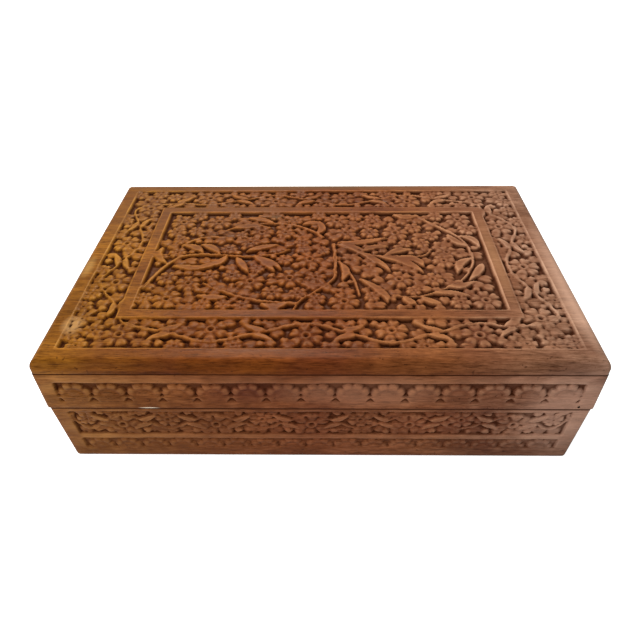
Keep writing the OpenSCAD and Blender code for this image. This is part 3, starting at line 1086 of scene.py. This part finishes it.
def slab(name, outer, hole=None, step=0.5, height=top, under=floor_z):
    """A grid of square faces from -outer to outer, less the hole, with sides and a bottom."""
    nx = round(2 * outer[0] / step)
    ny = round(2 * outer[1] / step)
    xs = np.linspace(-outer[0], outer[0], nx + 1)
    ys = np.linspace(-outer[1], outer[1], ny + 1)
    grid_x, grid_y = np.meshgrid(xs, ys)
    numbers = np.arange(grid_x.size).reshape(grid_x.shape)
    quads = np.stack(
        [numbers[:-1, :-1], numbers[:-1, 1:], numbers[1:, 1:], numbers[1:, :-1]], -1
    ).reshape(-1, 4)
    if hole:
        mid_x = (grid_x[:-1, :-1] + grid_x[1:, 1:]).ravel() / 2
        mid_y = (grid_y[:-1, :-1] + grid_y[1:, 1:]).ravel() / 2
        quads = quads[(np.abs(mid_x) > hole[0]) | (np.abs(mid_y) > hole[1])]
    used = np.unique(quads)
    renumber = np.full(grid_x.size, -1)
    renumber[used] = np.arange(len(used))
    quads = renumber[quads]
    x = grid_x.ravel()[used]
    y = grid_y.ravel()[used]
    points = [(a * MM, b * MM, height * MM) for a, b in zip(x, y)]
    flat = [(a * MM, b * MM, 0) for a, b in zip(x, y)]
    mask = [1.0] * len(points)
    faces = [tuple(q) for q in quads.tolist()]
    # the rim of the grid, edges that only one face uses, goes down to the bottom
    sides = {}
    for face in faces:
        for a, b in zip(face, face[1:] + face[:1]):
            if (b, a) in sides:
                del sides[(b, a)]
            else:
                sides[(a, b)] = True
    foot = {}
    for a, b in sides:
        for v in (a, b):
            if v not in foot:
                foot[v] = len(points)
                points.append((points[v][0], points[v][1], under * MM))
                flat.append((points[v][0], points[v][1], 0))
                mask.append(0.0)
    for a, b in sides:
        faces.append((a, foot[a], foot[b], b))
    following = {b: a for a, b in sides}
    rings = []
    left = set(following)
    while left:
        first = min(left)
        ring = [first]
        left.discard(first)
        while following[ring[-1]] != first:
            ring.append(following[ring[-1]])
            left.discard(ring[-1])
        rings.append([foot[v] for v in ring])
    if len(rings) == 1:
        faces.append(tuple(rings[0]))
    else:
        faces += bottom_with_hole(rings, points)
    values = {"flat": ("FLOAT_VECTOR", flat), "mask": ("FLOAT", mask)}
    return mesh_object(name, points, faces=faces, values=values)


def bottom_with_hole(rings, points):
    """Four faces between an outer and an inner rectangular ring of the bottom."""

    def corner(ring, sx, sy):
        return max(ring, key=lambda v: sx * points[v][0] + sy * points[v][1])

    def run(ring, start, end):
        i = ring.index(start)
        from_start = ring[i:] + ring[:i]
        return from_start[: from_start.index(end) + 1]

    turned = [ring[::-1] if ring_area(ring, points) > 0 else ring for ring in rings]
    outer, inner = sorted(turned, key=len, reverse=True)
    spots = [(1, 1), (1, -1), (-1, -1), (-1, 1)]
    faces = []
    for a, b in zip(spots, spots[1:] + spots[:1]):
        out_run = run(outer, corner(outer, *a), corner(outer, *b))
        in_run = run(inner, corner(inner, *a), corner(inner, *b))
        faces.append(tuple(out_run + in_run[::-1]))
    return faces


def ring_area(ring, points):
    p = np.array([points[v][:2] for v in ring])
    q = np.roll(p, -1, axis=0)
    return float(np.sum(p[:, 0] * q[:, 1] - q[:, 0] * p[:, 1]) / 2)


lid_border = slab(
    "lid_carved_border",
    (BORDER_OUT_X + OVERLAP, BORDER_OUT_Y + OVERLAP),
    (BORDER_IN_X - OVERLAP, BORDER_IN_Y - OVERLAP),
)
carve(lid_border, top_mould, wood_board, seed=0.0)
lid_panel = slab("lid_carved_panel", (PANEL_X + OVERLAP, PANEL_Y + OVERLAP), step=0.48)
carve(lid_panel, top_mould, wood_board, seed=0.0)

# %% [markdown]
# ## The walls of the base and of the lid
# A wall is a bar with a long section: foot, face and top edge. It is made as a grid that is fine
# where it is carved and coarse where it is plain, and is closed by its ends and its inner face.
# All eight walls are built as if they faced the maker, and are then turned to their side.

# %% Heights and lines of the carved bands
FOOT = 3.5
ARRIS = 0.5
RIM_BAND = (rim_bottom + 8.8, rim_bottom + 18.6)
NICK_BAND = (rim_bottom + 4.7, rim_bottom + 8.2)
VINE_BAND = (21.5, 41.0)
ROW_BAND = (9.6, 17.8)
TAPER = 1.75
CARVED_LONG = 132.0
CARVED_SHORT = 79.2


def base_out(reach):
    """How far out the base's face stands at a height, for a face whose top edge is at reach."""

    def out(z):
        lean = reach - TAPER * (1 - z / base_top)
        if z < FOOT:
            lean = reach - TAPER * (1 - FOOT / base_top)
            return lean - FOOT + math.sqrt(FOOT**2 - (FOOT - z) ** 2)
        over = z - (base_top - ARRIS)
        return lean - (ARRIS - math.sqrt(max(ARRIS**2 - over**2, 0)) if over > 0 else 0)

    return out


def rim_out(reach):
    def out(z):
        edge = min(z - rim_bottom, board_under - z)
        if edge < ARRIS:
            return reach - ARRIS + math.sqrt(ARRIS**2 - (ARRIS - edge) ** 2)
        return reach

    return out


def bevelled(out, low, high):
    """The same face, cut by a bevel from low to high, each (height, reach); for the hinged side."""

    def cut(z):
        if not low[0] <= z <= high[0]:
            return out(z)
        share = (z - low[0]) / (high[0] - low[0])
        return min(out(z), low[1] + share * (high[1] - low[1]))

    return cut


def heights_of(low, high, bands, round_low, round_high, extra=()):
    """Heights for the grid: fine in the carved bands, close at the rounded edges."""
    marks = {low, high, *extra}
    for radius, base, sign in ((round_low, low, 1), (round_high, high, -1)):
        count = 7 if radius > 1 else 3
        for i in range(count + 1):
            marks.add(base + sign * radius * (1 - math.cos(math.radians(90 * i / count))))
    for a, b in bands:
        count = math.ceil((b - a + 1) / 0.46)
        marks |= {a - 0.5 + (b - a + 1) * i / count for i in range(count + 1)}
    marks = sorted(marks)
    full = [marks[0]]
    for z in marks[1:]:
        if z - full[-1] < 0.02:
            continue
        gap = math.ceil((z - full[-1]) / 2.0)
        full += [full[-1] + (z - full[-1]) * i / gap for i in range(1, gap + 1)]
    return full


def wall(name, turn, half, out, end, zs, inner, corner, carved_half, free):
    """A wall that faces -Y before it is turned by quarter turns.
    out(z) and end(z) are its face and its half length, inner(z) its inner face; corner is the
    radius of its upright corners, free the heights between which the carving may cut."""
    fine = np.arange(-carved_half, carved_half + 0.01, 2 * carved_half / round(carved_half / 0.23))
    side = [half - corner * (1 - math.sin(math.radians(90 * i / 5))) for i in range(6)]
    plain = list(np.linspace(carved_half, side[0], max(2, round((side[0] - carved_half) / 2)))[1:])
    tail = plain + side[1:]
    xs = np.array([-x for x in reversed(tail)] + list(fine) + tail)
    inset = np.where(
        np.abs(xs) > half - corner,
        corner - np.sqrt(np.maximum(corner**2 - (np.abs(xs) - (half - corner)) ** 2, 0)),
        0,
    )
    n, m = len(xs), len(zs)
    ends = np.array([end(z) / half for z in zs])
    outs = np.array([out(z) for z in zs])
    X = (xs[None, :] * ends[:, None]).ravel()
    Y = -(outs[:, None] - inset[None, :]).ravel()
    Z = np.repeat(zs, n)
    points = np.stack([X, Y, Z], 1)
    inner_y = np.array([-inner(z) for z in zs])
    left = np.stack([-half * ends, inner_y, zs], 1)
    right_side = np.stack([half * ends, inner_y, zs], 1)
    points = np.vstack([points, left, right_side]) * MM
    flat = np.zeros_like(points)
    flat[: n * m, 0] = np.tile(xs, m) * MM
    flat[: n * m, 1] = Z * MM
    mask = np.zeros(len(points))
    inside = (np.abs(np.tile(xs, m)) <= carved_half) & (Z > free[0]) & (Z < free[1])
    mask[: n * m] = inside
    number = np.arange(n * m).reshape(m, n)
    faces = np.stack([number[:-1, :-1], number[:-1, 1:], number[1:, 1:], number[1:, :-1]], -1)
    faces = [tuple(f) for f in faces.reshape(-1, 4).tolist()]
    a, b = n * m, n * m + m
    for j in range(m - 1):
        first, last = int(number[j, 0]), int(number[j, -1])
        first_up, last_up = int(number[j + 1, 0]), int(number[j + 1, -1])
        faces.append((last, b + j, b + j + 1, last_up))
        faces.append((first, first_up, a + j + 1, a + j))
        faces.append((b + j, a + j, a + j + 1, b + j + 1))
    faces.append(tuple(number[-1].tolist()) + (b + m - 1, a + m - 1))
    faces.append(tuple(number[0][::-1].tolist()) + (a, b))
    c, s = round(math.cos(turn)), round(math.sin(turn))
    x, y = points[:, 0].copy(), points[:, 1].copy()
    points[:, 0] = c * x - s * y
    points[:, 1] = s * x + c * y
    values = {"flat": ("FLOAT_VECTOR", flat), "mask": ("FLOAT", mask)}
    return mesh_object(name, points.tolist(), faces=faces, values=values)


# %% [markdown]
# The rim carries a row of half flowers between two lines, with a nick under each gap. The base
# has a vine that waves past flowers and half flowers, and below it a row of smaller fans.

# %% Moulds for the rim and for the base
PITCH_RIM = 17.5
PITCH_ROW = 15.0
VINE_GROUND = 1.7
ROW_GROUND = 1.2
RIM_GROUND = 1.9
NICK_GROUND = 1.3


def band_tray(name, half, reach, bands):
    """Sunk bands (low, high, depth) of a wall, out to reach on both sides."""
    up = [bands[0][0] - 12]
    for low, high, depth in sorted(bands):
        up += [low, low + 0.6, high - 0.6, high]
    up.append(up[-1] + 12)

    def deep(x, z):
        for low, high, depth in bands:
            if abs(x) < reach - 0.1 and low + 0.1 < z < high - 0.1:
                return depth
        return 0.0

    return tray_object(name, steps((reach - 0.6, reach), (half + 2, half + 4)), up, deep)


def rim_mould(name, half, reach, seed):
    draw = random.Random(seed)
    count = int(2 * reach / PITCH_RIM + 0.1)
    pitch = 2 * reach / count
    marks = []
    for i in range(count):
        x = (i + 0.5 - count / 2) * pitch
        size = pitch / PITCH_RIM * draw.uniform(0.98, 1.04)
        marks.append((FAN, x + draw.uniform(-0.3, 0.3), RIM_BAND[0] + 0.5, size, draw.uniform(-3, 3)))
        marks.append((PLUG, x, NICK_BAND[0], 1.0, 0))
    bands = [(*NICK_BAND, NICK_GROUND), (*RIM_BAND, RIM_GROUND)]
    # a rim has no stems or leaves, so its lines are parked far below it
    parked = [(np.array([(-1, -300), (0, -300)]), 1, False)]
    return {
        "Tray": band_tray("tray " + name, half, reach, bands),
        "Layout": layout_object("layout " + name, marks),
        "Stems": lines_object("stems " + name, parked, STEM_TOP),
        "Leaves": lines_object("leaves " + name, parked, LEAF_TOP),
    }


def upward(x, y):
    return np.array([0.0, 1.0])


def base_mould(name, half, reach, flowers, seed):
    draw = random.Random(seed)
    middle = sum(VINE_BAND) / 2
    marks, spots = [], []
    for i, (x, size) in enumerate(flowers):
        side = 1 if i % 2 else -1
        z = middle - side * (1.4 if size > 0.9 else 3.0)
        spots.append((x, z, side))
        marks.append((FLOWER, x, z, size, draw.uniform(0, 60)))
    first = (2 * spots[0][0] - spots[1][0], middle, -spots[0][2])
    last = (2 * spots[-1][0] - spots[-2][0], middle, -spots[-1][2])
    line, gaps = trail([first, *spots, last], upward, 8.0, False)
    line = [(max(min(x, reach - 1.5), 1.5 - reach), z) for x, z in line]
    stems = [(through(line), 0.7, False)]
    keep = reach - 3.5
    leaves = [leaf for leaf in sprays(gaps, upward, 0.88) if np.max(np.abs(leaf[0][:, 0])) < keep]
    marks += fill_crossings(gaps, upward, 4.6, 0.95)
    marks = [m for m in marks if abs(m[1]) < keep]
    marks = fill_ground(
        marks, stems + leaves, (-keep, VINE_BAND[0] + 2.2), (keep, VINE_BAND[1] - 2.2), 5000, seed
    )
    count = int(2 * reach / PITCH_ROW)
    pitch = 2 * (reach - 1.5) / count
    for i in range(count):
        x = (i + 0.5 - count / 2) * pitch
        size = pitch / PITCH_ROW * 0.87 * draw.uniform(0.97, 1.03)
        marks.append((FAN, x, ROW_BAND[0] + 0.5, size, -9 + draw.uniform(-4, 4)))
    bands = [(*ROW_BAND, ROW_GROUND), (*VINE_BAND, VINE_GROUND)]
    return {
        "Tray": band_tray("tray " + name, half, reach, bands),
        "Layout": layout_object("layout " + name, marks),
        "Stems": lines_object("stems " + name, stems, STEM_TOP - 0.2),
        "Leaves": lines_object("leaves " + name, leaves, LEAF_TOP),
    }


# x and size of the flowers that the vine passes
LONG_FLOWERS = [
    (-123, 0.62), (-105, 1.12), (-80, 0.82), (-55, 1.1), (-30, 0.82), (-4, 1.12), (22, 0.8),
    (48, 1.1), (75, 0.84), (103, 1.12), (123, 0.62),
]  # fmt: skip
SHORT_FLOWERS = [(-69, 0.65), (-49, 1.1), (-24, 0.8), (0, 1.12), (24, 0.82), (49, 1.1), (69, 0.65)]
moulds = {
    "rim long": rim_mould("of the long rims", half_x, 131.3, 21),
    "rim short": rim_mould("of the short rims", inner_y, 78.8, 22),
    "base long": base_mould("of the long walls", half_x, 131.0, LONG_FLOWERS, 23),
    "base short": base_mould("of the short walls", inner_y, 78.5, SHORT_FLOWERS, 24),
}

# %% Eight walls, each turned to its side and carved
QUARTER = math.pi / 2
pin_low, pin_high = node_mm("left_hinge_pin")
pin_out = (pin_low[1] + pin_high[1]) / 2
BEVEL = math.tan(math.radians(53))
base_bevel = (half_y - pin_out - 0.75) * BEVEL
lid_bevel = (half_y - pin_out) * BEVEL
rebate = node_mm("base_bottom_board")[1]


def base_inner(reach):
    """The inner face of a base wall, with the rebate that the bottom board lies in."""
    return lambda z: reach + (3.5 if z < rebate[2] + 0.05 else 0)


def carved_reach(half):
    """How far from its middle a wall may be carved."""
    return CARVED_LONG if half > inner_y + 1 else CARVED_SHORT


def base_wall_piece(name, turn, half, reach, inner_reach, end, mould, finish, back=False):
    out = base_out(reach)
    extra = [rebate[2], rebate[2] + 0.1]
    top_round = ARRIS
    bands = [ROW_BAND, VINE_BAND]
    free = (FOOT + 1, base_top - 1.5)
    if back:
        start = base_top - base_bevel
        out = bevelled(out, (start, reach), (base_top, pin_out))
        extra.append(start)
        top_round = 0.0
        bands = [ROW_BAND, (VINE_BAND[0] - 2, VINE_BAND[1] - 2)]
        free = (FOOT + 1, start - 0.3)
    zs = heights_of(0.0, base_top, bands, FOOT, top_round, extra)
    corner = 1.5 if half > inner_y + 1 else 0.35
    piece = wall(
        name, turn, half, out, end, np.array(zs), base_inner(inner_reach), corner,
        carved_reach(half), free,
    )  # fmt: skip
    carve(piece, moulds[mould], finish, wander=1.2, gouge=0.4, seed=turn + 0.3)
    return piece


def rim_piece(name, turn, half, reach, inner_reach, mould, finish, back=False):
    out = rim_out(reach)
    extra = []
    free = (rim_bottom + 1.5, board_under - 1.5)
    if back:
        out = bevelled(out, (rim_bottom, pin_out), (rim_bottom + lid_bevel, reach))
        extra = [rim_bottom + lid_bevel]
    zs = heights_of(rim_bottom, board_under, [NICK_BAND, RIM_BAND], ARRIS, ARRIS, extra)
    corner = 2.0 if half > inner_y + 1 else 0.35
    piece = wall(
        name, turn, half, out, lambda z: half, np.array(zs), lambda z: inner_reach, corner,
        carved_reach(half), free,
    )  # fmt: skip
    carve(piece, moulds[mould], finish, wander=1.2, gouge=0.4, seed=turn + 5.3)
    return piece


long_end = base_out(base_half_x)
base_walls = [
    base_wall_piece("base_front", 0, base_half_x, base_half_y, inner_y, long_end,
                    "base long", wood_front),
    base_wall_piece("base_back", 2 * QUARTER, base_half_x, base_half_y, inner_y, long_end,
                    "base long", wood_back, back=True),
    base_wall_piece("base_left", -QUARTER, inner_y, base_half_x, inner_x, lambda z: inner_y,
                    "base short", wood_sides),
    base_wall_piece("base_right", QUARTER, inner_y, base_half_x, inner_x, lambda z: inner_y,
                    "base short", wood_sides),
]  # fmt: skip
rims = [
    rim_piece("rim_front", 0, half_x, half_y, inner_y, "rim long", wood_front),
    rim_piece("rim_back", 2 * QUARTER, half_x, half_y, inner_y, "rim long", wood_back, back=True),
    rim_piece("rim_left", -QUARTER, inner_y, half_x, inner_x, "rim short", wood_sides),
    rim_piece("rim_right", QUARTER, inner_y, half_x, inner_x, "rim short", wood_sides),
]

# %% [markdown]
# On the hinged side, each hinge lies in a pocket: a round one for its barrel and a flat one for
# its leaf. The pockets are cut with a Boolean, as they are cut into the finished board.

# %% Pockets for the hinges
BARREL_POCKET = 2.5
LEAF_POCKET = 1.2


def box_faces(low, high):
    """Corner points and faces of a box between two corners in millimetres."""
    points = [(x, y, z) for z in (low[2], high[2]) for y in (low[1], high[1]) for x in (low[0], high[0])]
    faces = [(0, 2, 3, 1), (4, 5, 7, 6), (0, 1, 5, 4), (2, 6, 7, 3), (0, 4, 6, 2), (1, 3, 7, 5)]
    return points, faces


def pocket_cutters(level):
    """A round and a flat cutter for both hinges; level -1 for the base, 1 for the lid."""
    made = []
    seam = base_top if level < 0 else rim_bottom
    pin_height = (base_top + rim_bottom) / 2
    for flat in (False, True):
        points, faces = [], []
        for side in ("left", "right"):
            low, high = node_mm(f"{side}_hinge_pin")
            start = len(points)
            if flat:
                leaf = node_mm(f"{side}_hinge_{'base' if level < 0 else 'lid'}_leaf")
                deep = seam + level * LEAF_POCKET
                corner = (low[0] - 0.01, leaf[0][1], min(seam, deep) - (level > 0))
                far = (high[0] + 0.01, pin_out, max(seam, deep) + (level < 0))
                new_points, new_faces = box_faces(corner, far)
            else:
                count = 40
                new_points = []
                for x in (low[0] - 0.3, high[0] + 0.3):
                    for i in range(count):
                        angle = 2 * math.pi * (i + 0.5) / count
                        y = pin_out + BARREL_POCKET * math.cos(angle)
                        new_points.append((x, y, pin_height + BARREL_POCKET * math.sin(angle)))
                new_faces = [tuple(reversed(range(count))), tuple(range(count, 2 * count))]
                for i in range(count):
                    j = (i + 1) % count
                    new_faces.append((i, j, count + j, count + i))
            points += new_points
            faces += [tuple(start + v for v in face) for face in new_faces]
        made.append(mesh_object("cutter", [(x * MM, y * MM, z * MM) for x, y, z in points], faces=faces))
    return made


def cut_pockets(piece, level):
    for cutter in pocket_cutters(level):
        gouge = piece.modifiers.new("pocket", "BOOLEAN")
        gouge.operation = "DIFFERENCE"
        gouge.solver = "EXACT"
        gouge.object = cutter
        keep_result(piece)
        bpy.data.objects.remove(cutter)
    print(piece.name, "faces after its pockets", len(piece.data.polygons))


cut_pockets(base_walls[1], -1)
cut_pockets(rims[1], 1)

# %% Put the moulds and punches away
for helper in list(punches.objects) + [stem_section, leaf_section, *top_mould.values()]:
    bpy.data.objects.remove(helper)
for mould in moulds.values():
    for helper in mould.values():
        bpy.data.objects.remove(helper)
bpy.data.collections.remove(punches)
bpy.data.orphans_purge(do_recursive=True)


# %% [markdown]
# ## The velvet lining
# The inside is lined with crimson velvet glued on card, and the partitions are thin boards
# wrapped in it, so every edge is round. Velvet is a short upright pile: it is dark where one
# looks into it and shines at the edges, where one sees the sides of the threads.

# %% Velvet
velvet = bpy.data.materials.new("crimson cotton velvet")
velvet.use_nodes = True
pile = velvet.node_tree
velvet_skin = pile.nodes["Principled BSDF"]
pile_place = add(pile, "ShaderNodeTexCoord")
brushed = add(pile, "ShaderNodeTexNoise", {"Scale": 45.0, "Detail": 3.0}, {"Vector": (pile_place, 3)})
tufts = add(pile, "ShaderNodeTexNoise", {"Scale": 1400.0, "Detail": 2.0}, {"Vector": (pile_place, 3)})
nap = ramp(pile, brushed, [(0.35, "3E0610"), (0.65, "5E0C1B")])
fleck = spread(pile, tufts, 0.35, 0.65)
napped = mix(pile, 0.35, nap, mix(pile, fleck, "2A040A", "7A1526"))
pile.links.new(napped[0].outputs[napped[1]], velvet_skin.inputs["Base Color"])
velvet_skin.inputs["Roughness"].default_value = 0.95
velvet_skin.inputs["Sheen Weight"].default_value = 0.8
velvet_skin.inputs["Sheen Roughness"].default_value = 0.35
velvet_skin.inputs["Sheen Tint"].default_value = colour("C24A5C")
velvet_skin.inputs["Specular IOR Level"].default_value = 0.2
nap_bump = add(pile, "ShaderNodeBump", {"Strength": 0.6, "Distance": 0.3 * MM}, {"Height": tufts})
pile.links.new(nap_bump.outputs[0], velvet_skin.inputs["Normal"])

# %% Lined boards, rings and partitions


def covered(name, nodes, low, high, round_top=0.8, round_bottom=0.0, crown=0.0, body="base"):
    """A velvet-covered board that fills a box, its top edges rounded and its top crowned."""
    centre = ((low[0] + high[0]) / 2, (low[1] + high[1]) / 2)
    hx, hy = (high[0] - low[0]) / 2, (high[1] - low[1]) / 2
    loops = []
    for i in range(5 if round_bottom else 1):
        a = math.radians(90 * i / 4)
        r = round_bottom
        loops.append((hx - r * (1 - math.sin(a)), hy - r * (1 - math.sin(a)), 0.4,
                      low[2] + r * (1 - math.cos(a))))  # fmt: skip
    for i in range(6):
        a = math.radians(90 * i / 5)
        r = round_top
        loops.append((hx - r * (1 - math.cos(a)), hy - r * (1 - math.cos(a)), 0.4,
                      high[2] - crown - r * (1 - math.sin(a))))  # fmt: skip
    for i in range(1, 6):
        share = 1 - i / 5.5
        rise = crown * (1 - share**2)
        loops.append(((hx - round_top) * share + 0.1, (hy - round_top) * share + 0.1, 0.4,
                      high[2] - crown + rise))  # fmt: skip
    piece = stack(name, loops, centre=centre)
    piece.data.materials.append(velvet)
    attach(piece, body)
    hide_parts(*nodes)
    return piece


floor_box = node_mm("base_floor_lining")
covered("floor_velvet", ["base_floor_lining"], *floor_box, round_top=0.5, crown=0.1)
ceiling_box = node_mm("lid_ceiling_lining")
covered(
    "ceiling_velvet", ["lid_ceiling_lining"], *ceiling_box, round_top=0.02, round_bottom=0.5,
    body="lid",
)  # fmt: skip
for divider in ("long_divider", "left_cross_divider", "right_cross_divider"):
    low, high = node_mm(divider)
    covered(divider + "_velvet", [divider], low, high, round_top=2.2)


def lined_ring(name, node, open_up, body):
    """The strip of velvet inside the walls, rounded over at its open edge."""
    low, high = node_mm(node)
    thick = 1.2
    r = thick / 2
    out_x, out_y = high[0], high[1]
    shut, edge = (low[2], high[2] - r) if open_up else (high[2], low[2] + r)
    way = 1 if open_up else -1
    loops = [(out_x, out_y, 0.3, shut)]
    for i in range(7):
        a = math.radians(180 * i / 6)
        inset = r - r * math.cos(a)
        loops.append((out_x - inset, out_y - inset, 0.3, edge + way * r * math.sin(a)))
    loops.append((out_x - thick, out_y - thick, 0.3, shut))
    if not open_up:
        loops = loops[::-1]
    piece = stack(name, loops, closed=True)
    piece.data.materials.append(velvet)
    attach(piece, body)
    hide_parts(node)


lined_ring("base_wall_velvet", "base_wall_lining", True, "base")
lined_ring("lid_wall_velvet", "lid_wall_lining", False, "lid")

# %% [markdown]
# ## Metal
# The hinges are stamped brass, lacquered once and dull now, with brown tarnish in the corners.
# One bright brad end shows low on the rim in front: a steel pin, filed flush.

# %% Brass and steel


def metal(name, code, second, rough_low, rough_high, grit_mm):
    made = bpy.data.materials.new(name)
    made.use_nodes = True
    tree = made.node_tree
    skin = tree.nodes["Principled BSDF"]
    place = add(tree, "ShaderNodeTexCoord")
    cloud = add(tree, "ShaderNodeTexNoise", {"Scale": 220.0, "Detail": 4.0}, {"Vector": (place, 3)})
    drawn = add(tree, "ShaderNodeVectorMath", {"operation": "MULTIPLY", 1: (0.08, 1, 1)}, {0: (place, 3)})
    grit = noise(tree, drawn, grit_mm, 3.0)
    tint = mix(tree, spread(tree, cloud, 0.4, 0.72, 0.0, 0.8), code, second)
    tree.links.new(tint[0].outputs[tint[1]], skin.inputs["Base Color"])
    skin.inputs["Metallic"].default_value = 1.0
    rough = spread(tree, cloud, 0.3, 0.7, rough_low, rough_high)
    tree.links.new(rough.outputs[0], skin.inputs["Roughness"])
    bump = add(tree, "ShaderNodeBump", {"Strength": 0.3, "Distance": 0.05 * MM}, {"Height": grit})
    tree.links.new(bump.outputs[0], skin.inputs["Normal"])
    return made


brass = metal("lacquered brass, dulled", "B08D4A", "6E5226", 0.28, 0.5, 0.3)
steel = metal("filed steel", "D8D6D0", "B8B4AC", 0.18, 0.3, 0.15)

# %% Pieces to their bodies, and finishes on the nodes that stay
for piece, node in zip(base_walls, ("front", "back", "left", "right")):
    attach(piece, "base")
    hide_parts(f"base_{node}_wall")
for piece, node in zip(rims, ("front", "back", "left", "right")):
    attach(piece, "lid")
    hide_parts(f"lid_{node}_rim")
for piece in (lid_board, lid_border, lid_panel):
    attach(piece, "lid")
    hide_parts("lid_top_board")
for name, node in frame["nodes"].items():
    if node.hide_render:
        continue
    if name == "rim_brad":
        finish = steel
    elif "hinge" in name:
        finish = brass
    else:
        finish = wood_back
    node.data.materials.clear()
    node.data.materials.append(finish)

# %% Smooth carving, sharp edges
for piece in [*base_walls, *rims, lid_border, lid_panel]:
    piece.data.shade_smooth()
    piece.data.set_sharp_from_angle(angle=math.radians(62))
lid_board.data.shade_smooth()
lid_board.data.set_sharp_from_angle(angle=math.radians(32))

# %% [markdown]
# ## Light and camera
# The box stands on a white sheet. A small warm lamp behind and above it throws the shadows of
# the carving forwards, and a wide cool one in front opens up the walls. The camera looks down
# on the lid, a little off the middle line.

# %% The stage, the lights and the camera
floor = mesh_object(
    "floor", [(-3, -3, 0), (3, -3, 0), (3, 3, 0), (-3, 3, 0)], faces=[(0, 1, 2, 3)]
)
paper = bpy.data.materials.new("white paper sweep")
paper.use_nodes = True
paper_skin = paper.node_tree.nodes["Principled BSDF"]
paper_skin.inputs["Base Color"].default_value = (0.6, 0.6, 0.6, 1)
paper_skin.inputs["Roughness"].default_value = 0.9
paper_skin.inputs["Emission Color"].default_value = (1, 1, 1, 1)
paper_seen = add(paper.node_tree, "ShaderNodeLightPath")
glow = add(
    paper.node_tree, "ShaderNodeMapRange", {"To Min": 0.0, "To Max": 0.8}, {"Value": (paper_seen, 0)}
)
paper.node_tree.links.new(glow.outputs[0], paper_skin.inputs["Emission Strength"])
floor.data.materials.append(paper)

world = bpy.data.worlds.new("studio")
bpy.context.scene.world = world
world.use_nodes = True
sky = world.node_tree.nodes["Background"]
sky.inputs["Color"].default_value = (1, 1, 1, 1)
seen = add(world.node_tree, "ShaderNodeLightPath")
bright = add(
    world.node_tree, "ShaderNodeMapRange", {"To Min": 0.42, "To Max": 1.0}, {"Value": (seen, 0)}
)
world.node_tree.links.new(bright.outputs[0], sky.inputs["Strength"])
bpy.context.scene.view_settings.view_transform = "Standard"


def soft_box(name, place, target, size, power, tint=(1, 1, 1)):
    """An area light at place, facing target, in metres and watts."""
    lamp = bpy.data.lights.new(name, "AREA")
    lamp.shape = "RECTANGLE"
    lamp.size, lamp.size_y = size
    lamp.energy = power
    lamp.color = tint
    holder = bpy.data.objects.new(name, lamp)
    holder.location = place
    holder.rotation_euler = (Vector(target) - Vector(place)).to_track_quat("-Z", "Y").to_euler()
    bpy.context.scene.collection.objects.link(holder)


soft_box("key soft box", (-0.15, 0.62, 0.9), (0, 0, 0.05), (0.3, 0.3), 18, (1, 0.96, 0.9))
soft_box("front soft box", (-0.5, -0.9, 0.5), (0, 0, 0.03), (0.6, 0.4), 10, (0.97, 0.97, 1))

EYE = Vector((4.76, -278.53, top + 188.48))
LENS = 31.53
PITCH, YAW, ROLL = (math.radians(a) for a in (40.689, -1.086, -0.660))
ahead = Vector((math.sin(YAW) * math.cos(PITCH), math.cos(YAW) * math.cos(PITCH), -math.sin(PITCH)))
right = Vector((math.cos(YAW), -math.sin(YAW), 0))
above = right.cross(ahead)
tilt_right = right * math.cos(ROLL) + above * math.sin(ROLL)
tilt_above = above * math.cos(ROLL) - right * math.sin(ROLL)
eye = bpy.data.cameras.new("camera")
eye.lens = LENS
eye.sensor_width = 36.0
camera = bpy.data.objects.new("camera", eye)
stand = Matrix((tilt_right, tilt_above, -ahead)).transposed().to_4x4()
stand.translation = EYE * MM
camera.matrix_world = stand
bpy.context.scene.collection.objects.link(camera)
bpy.context.scene.camera = camera
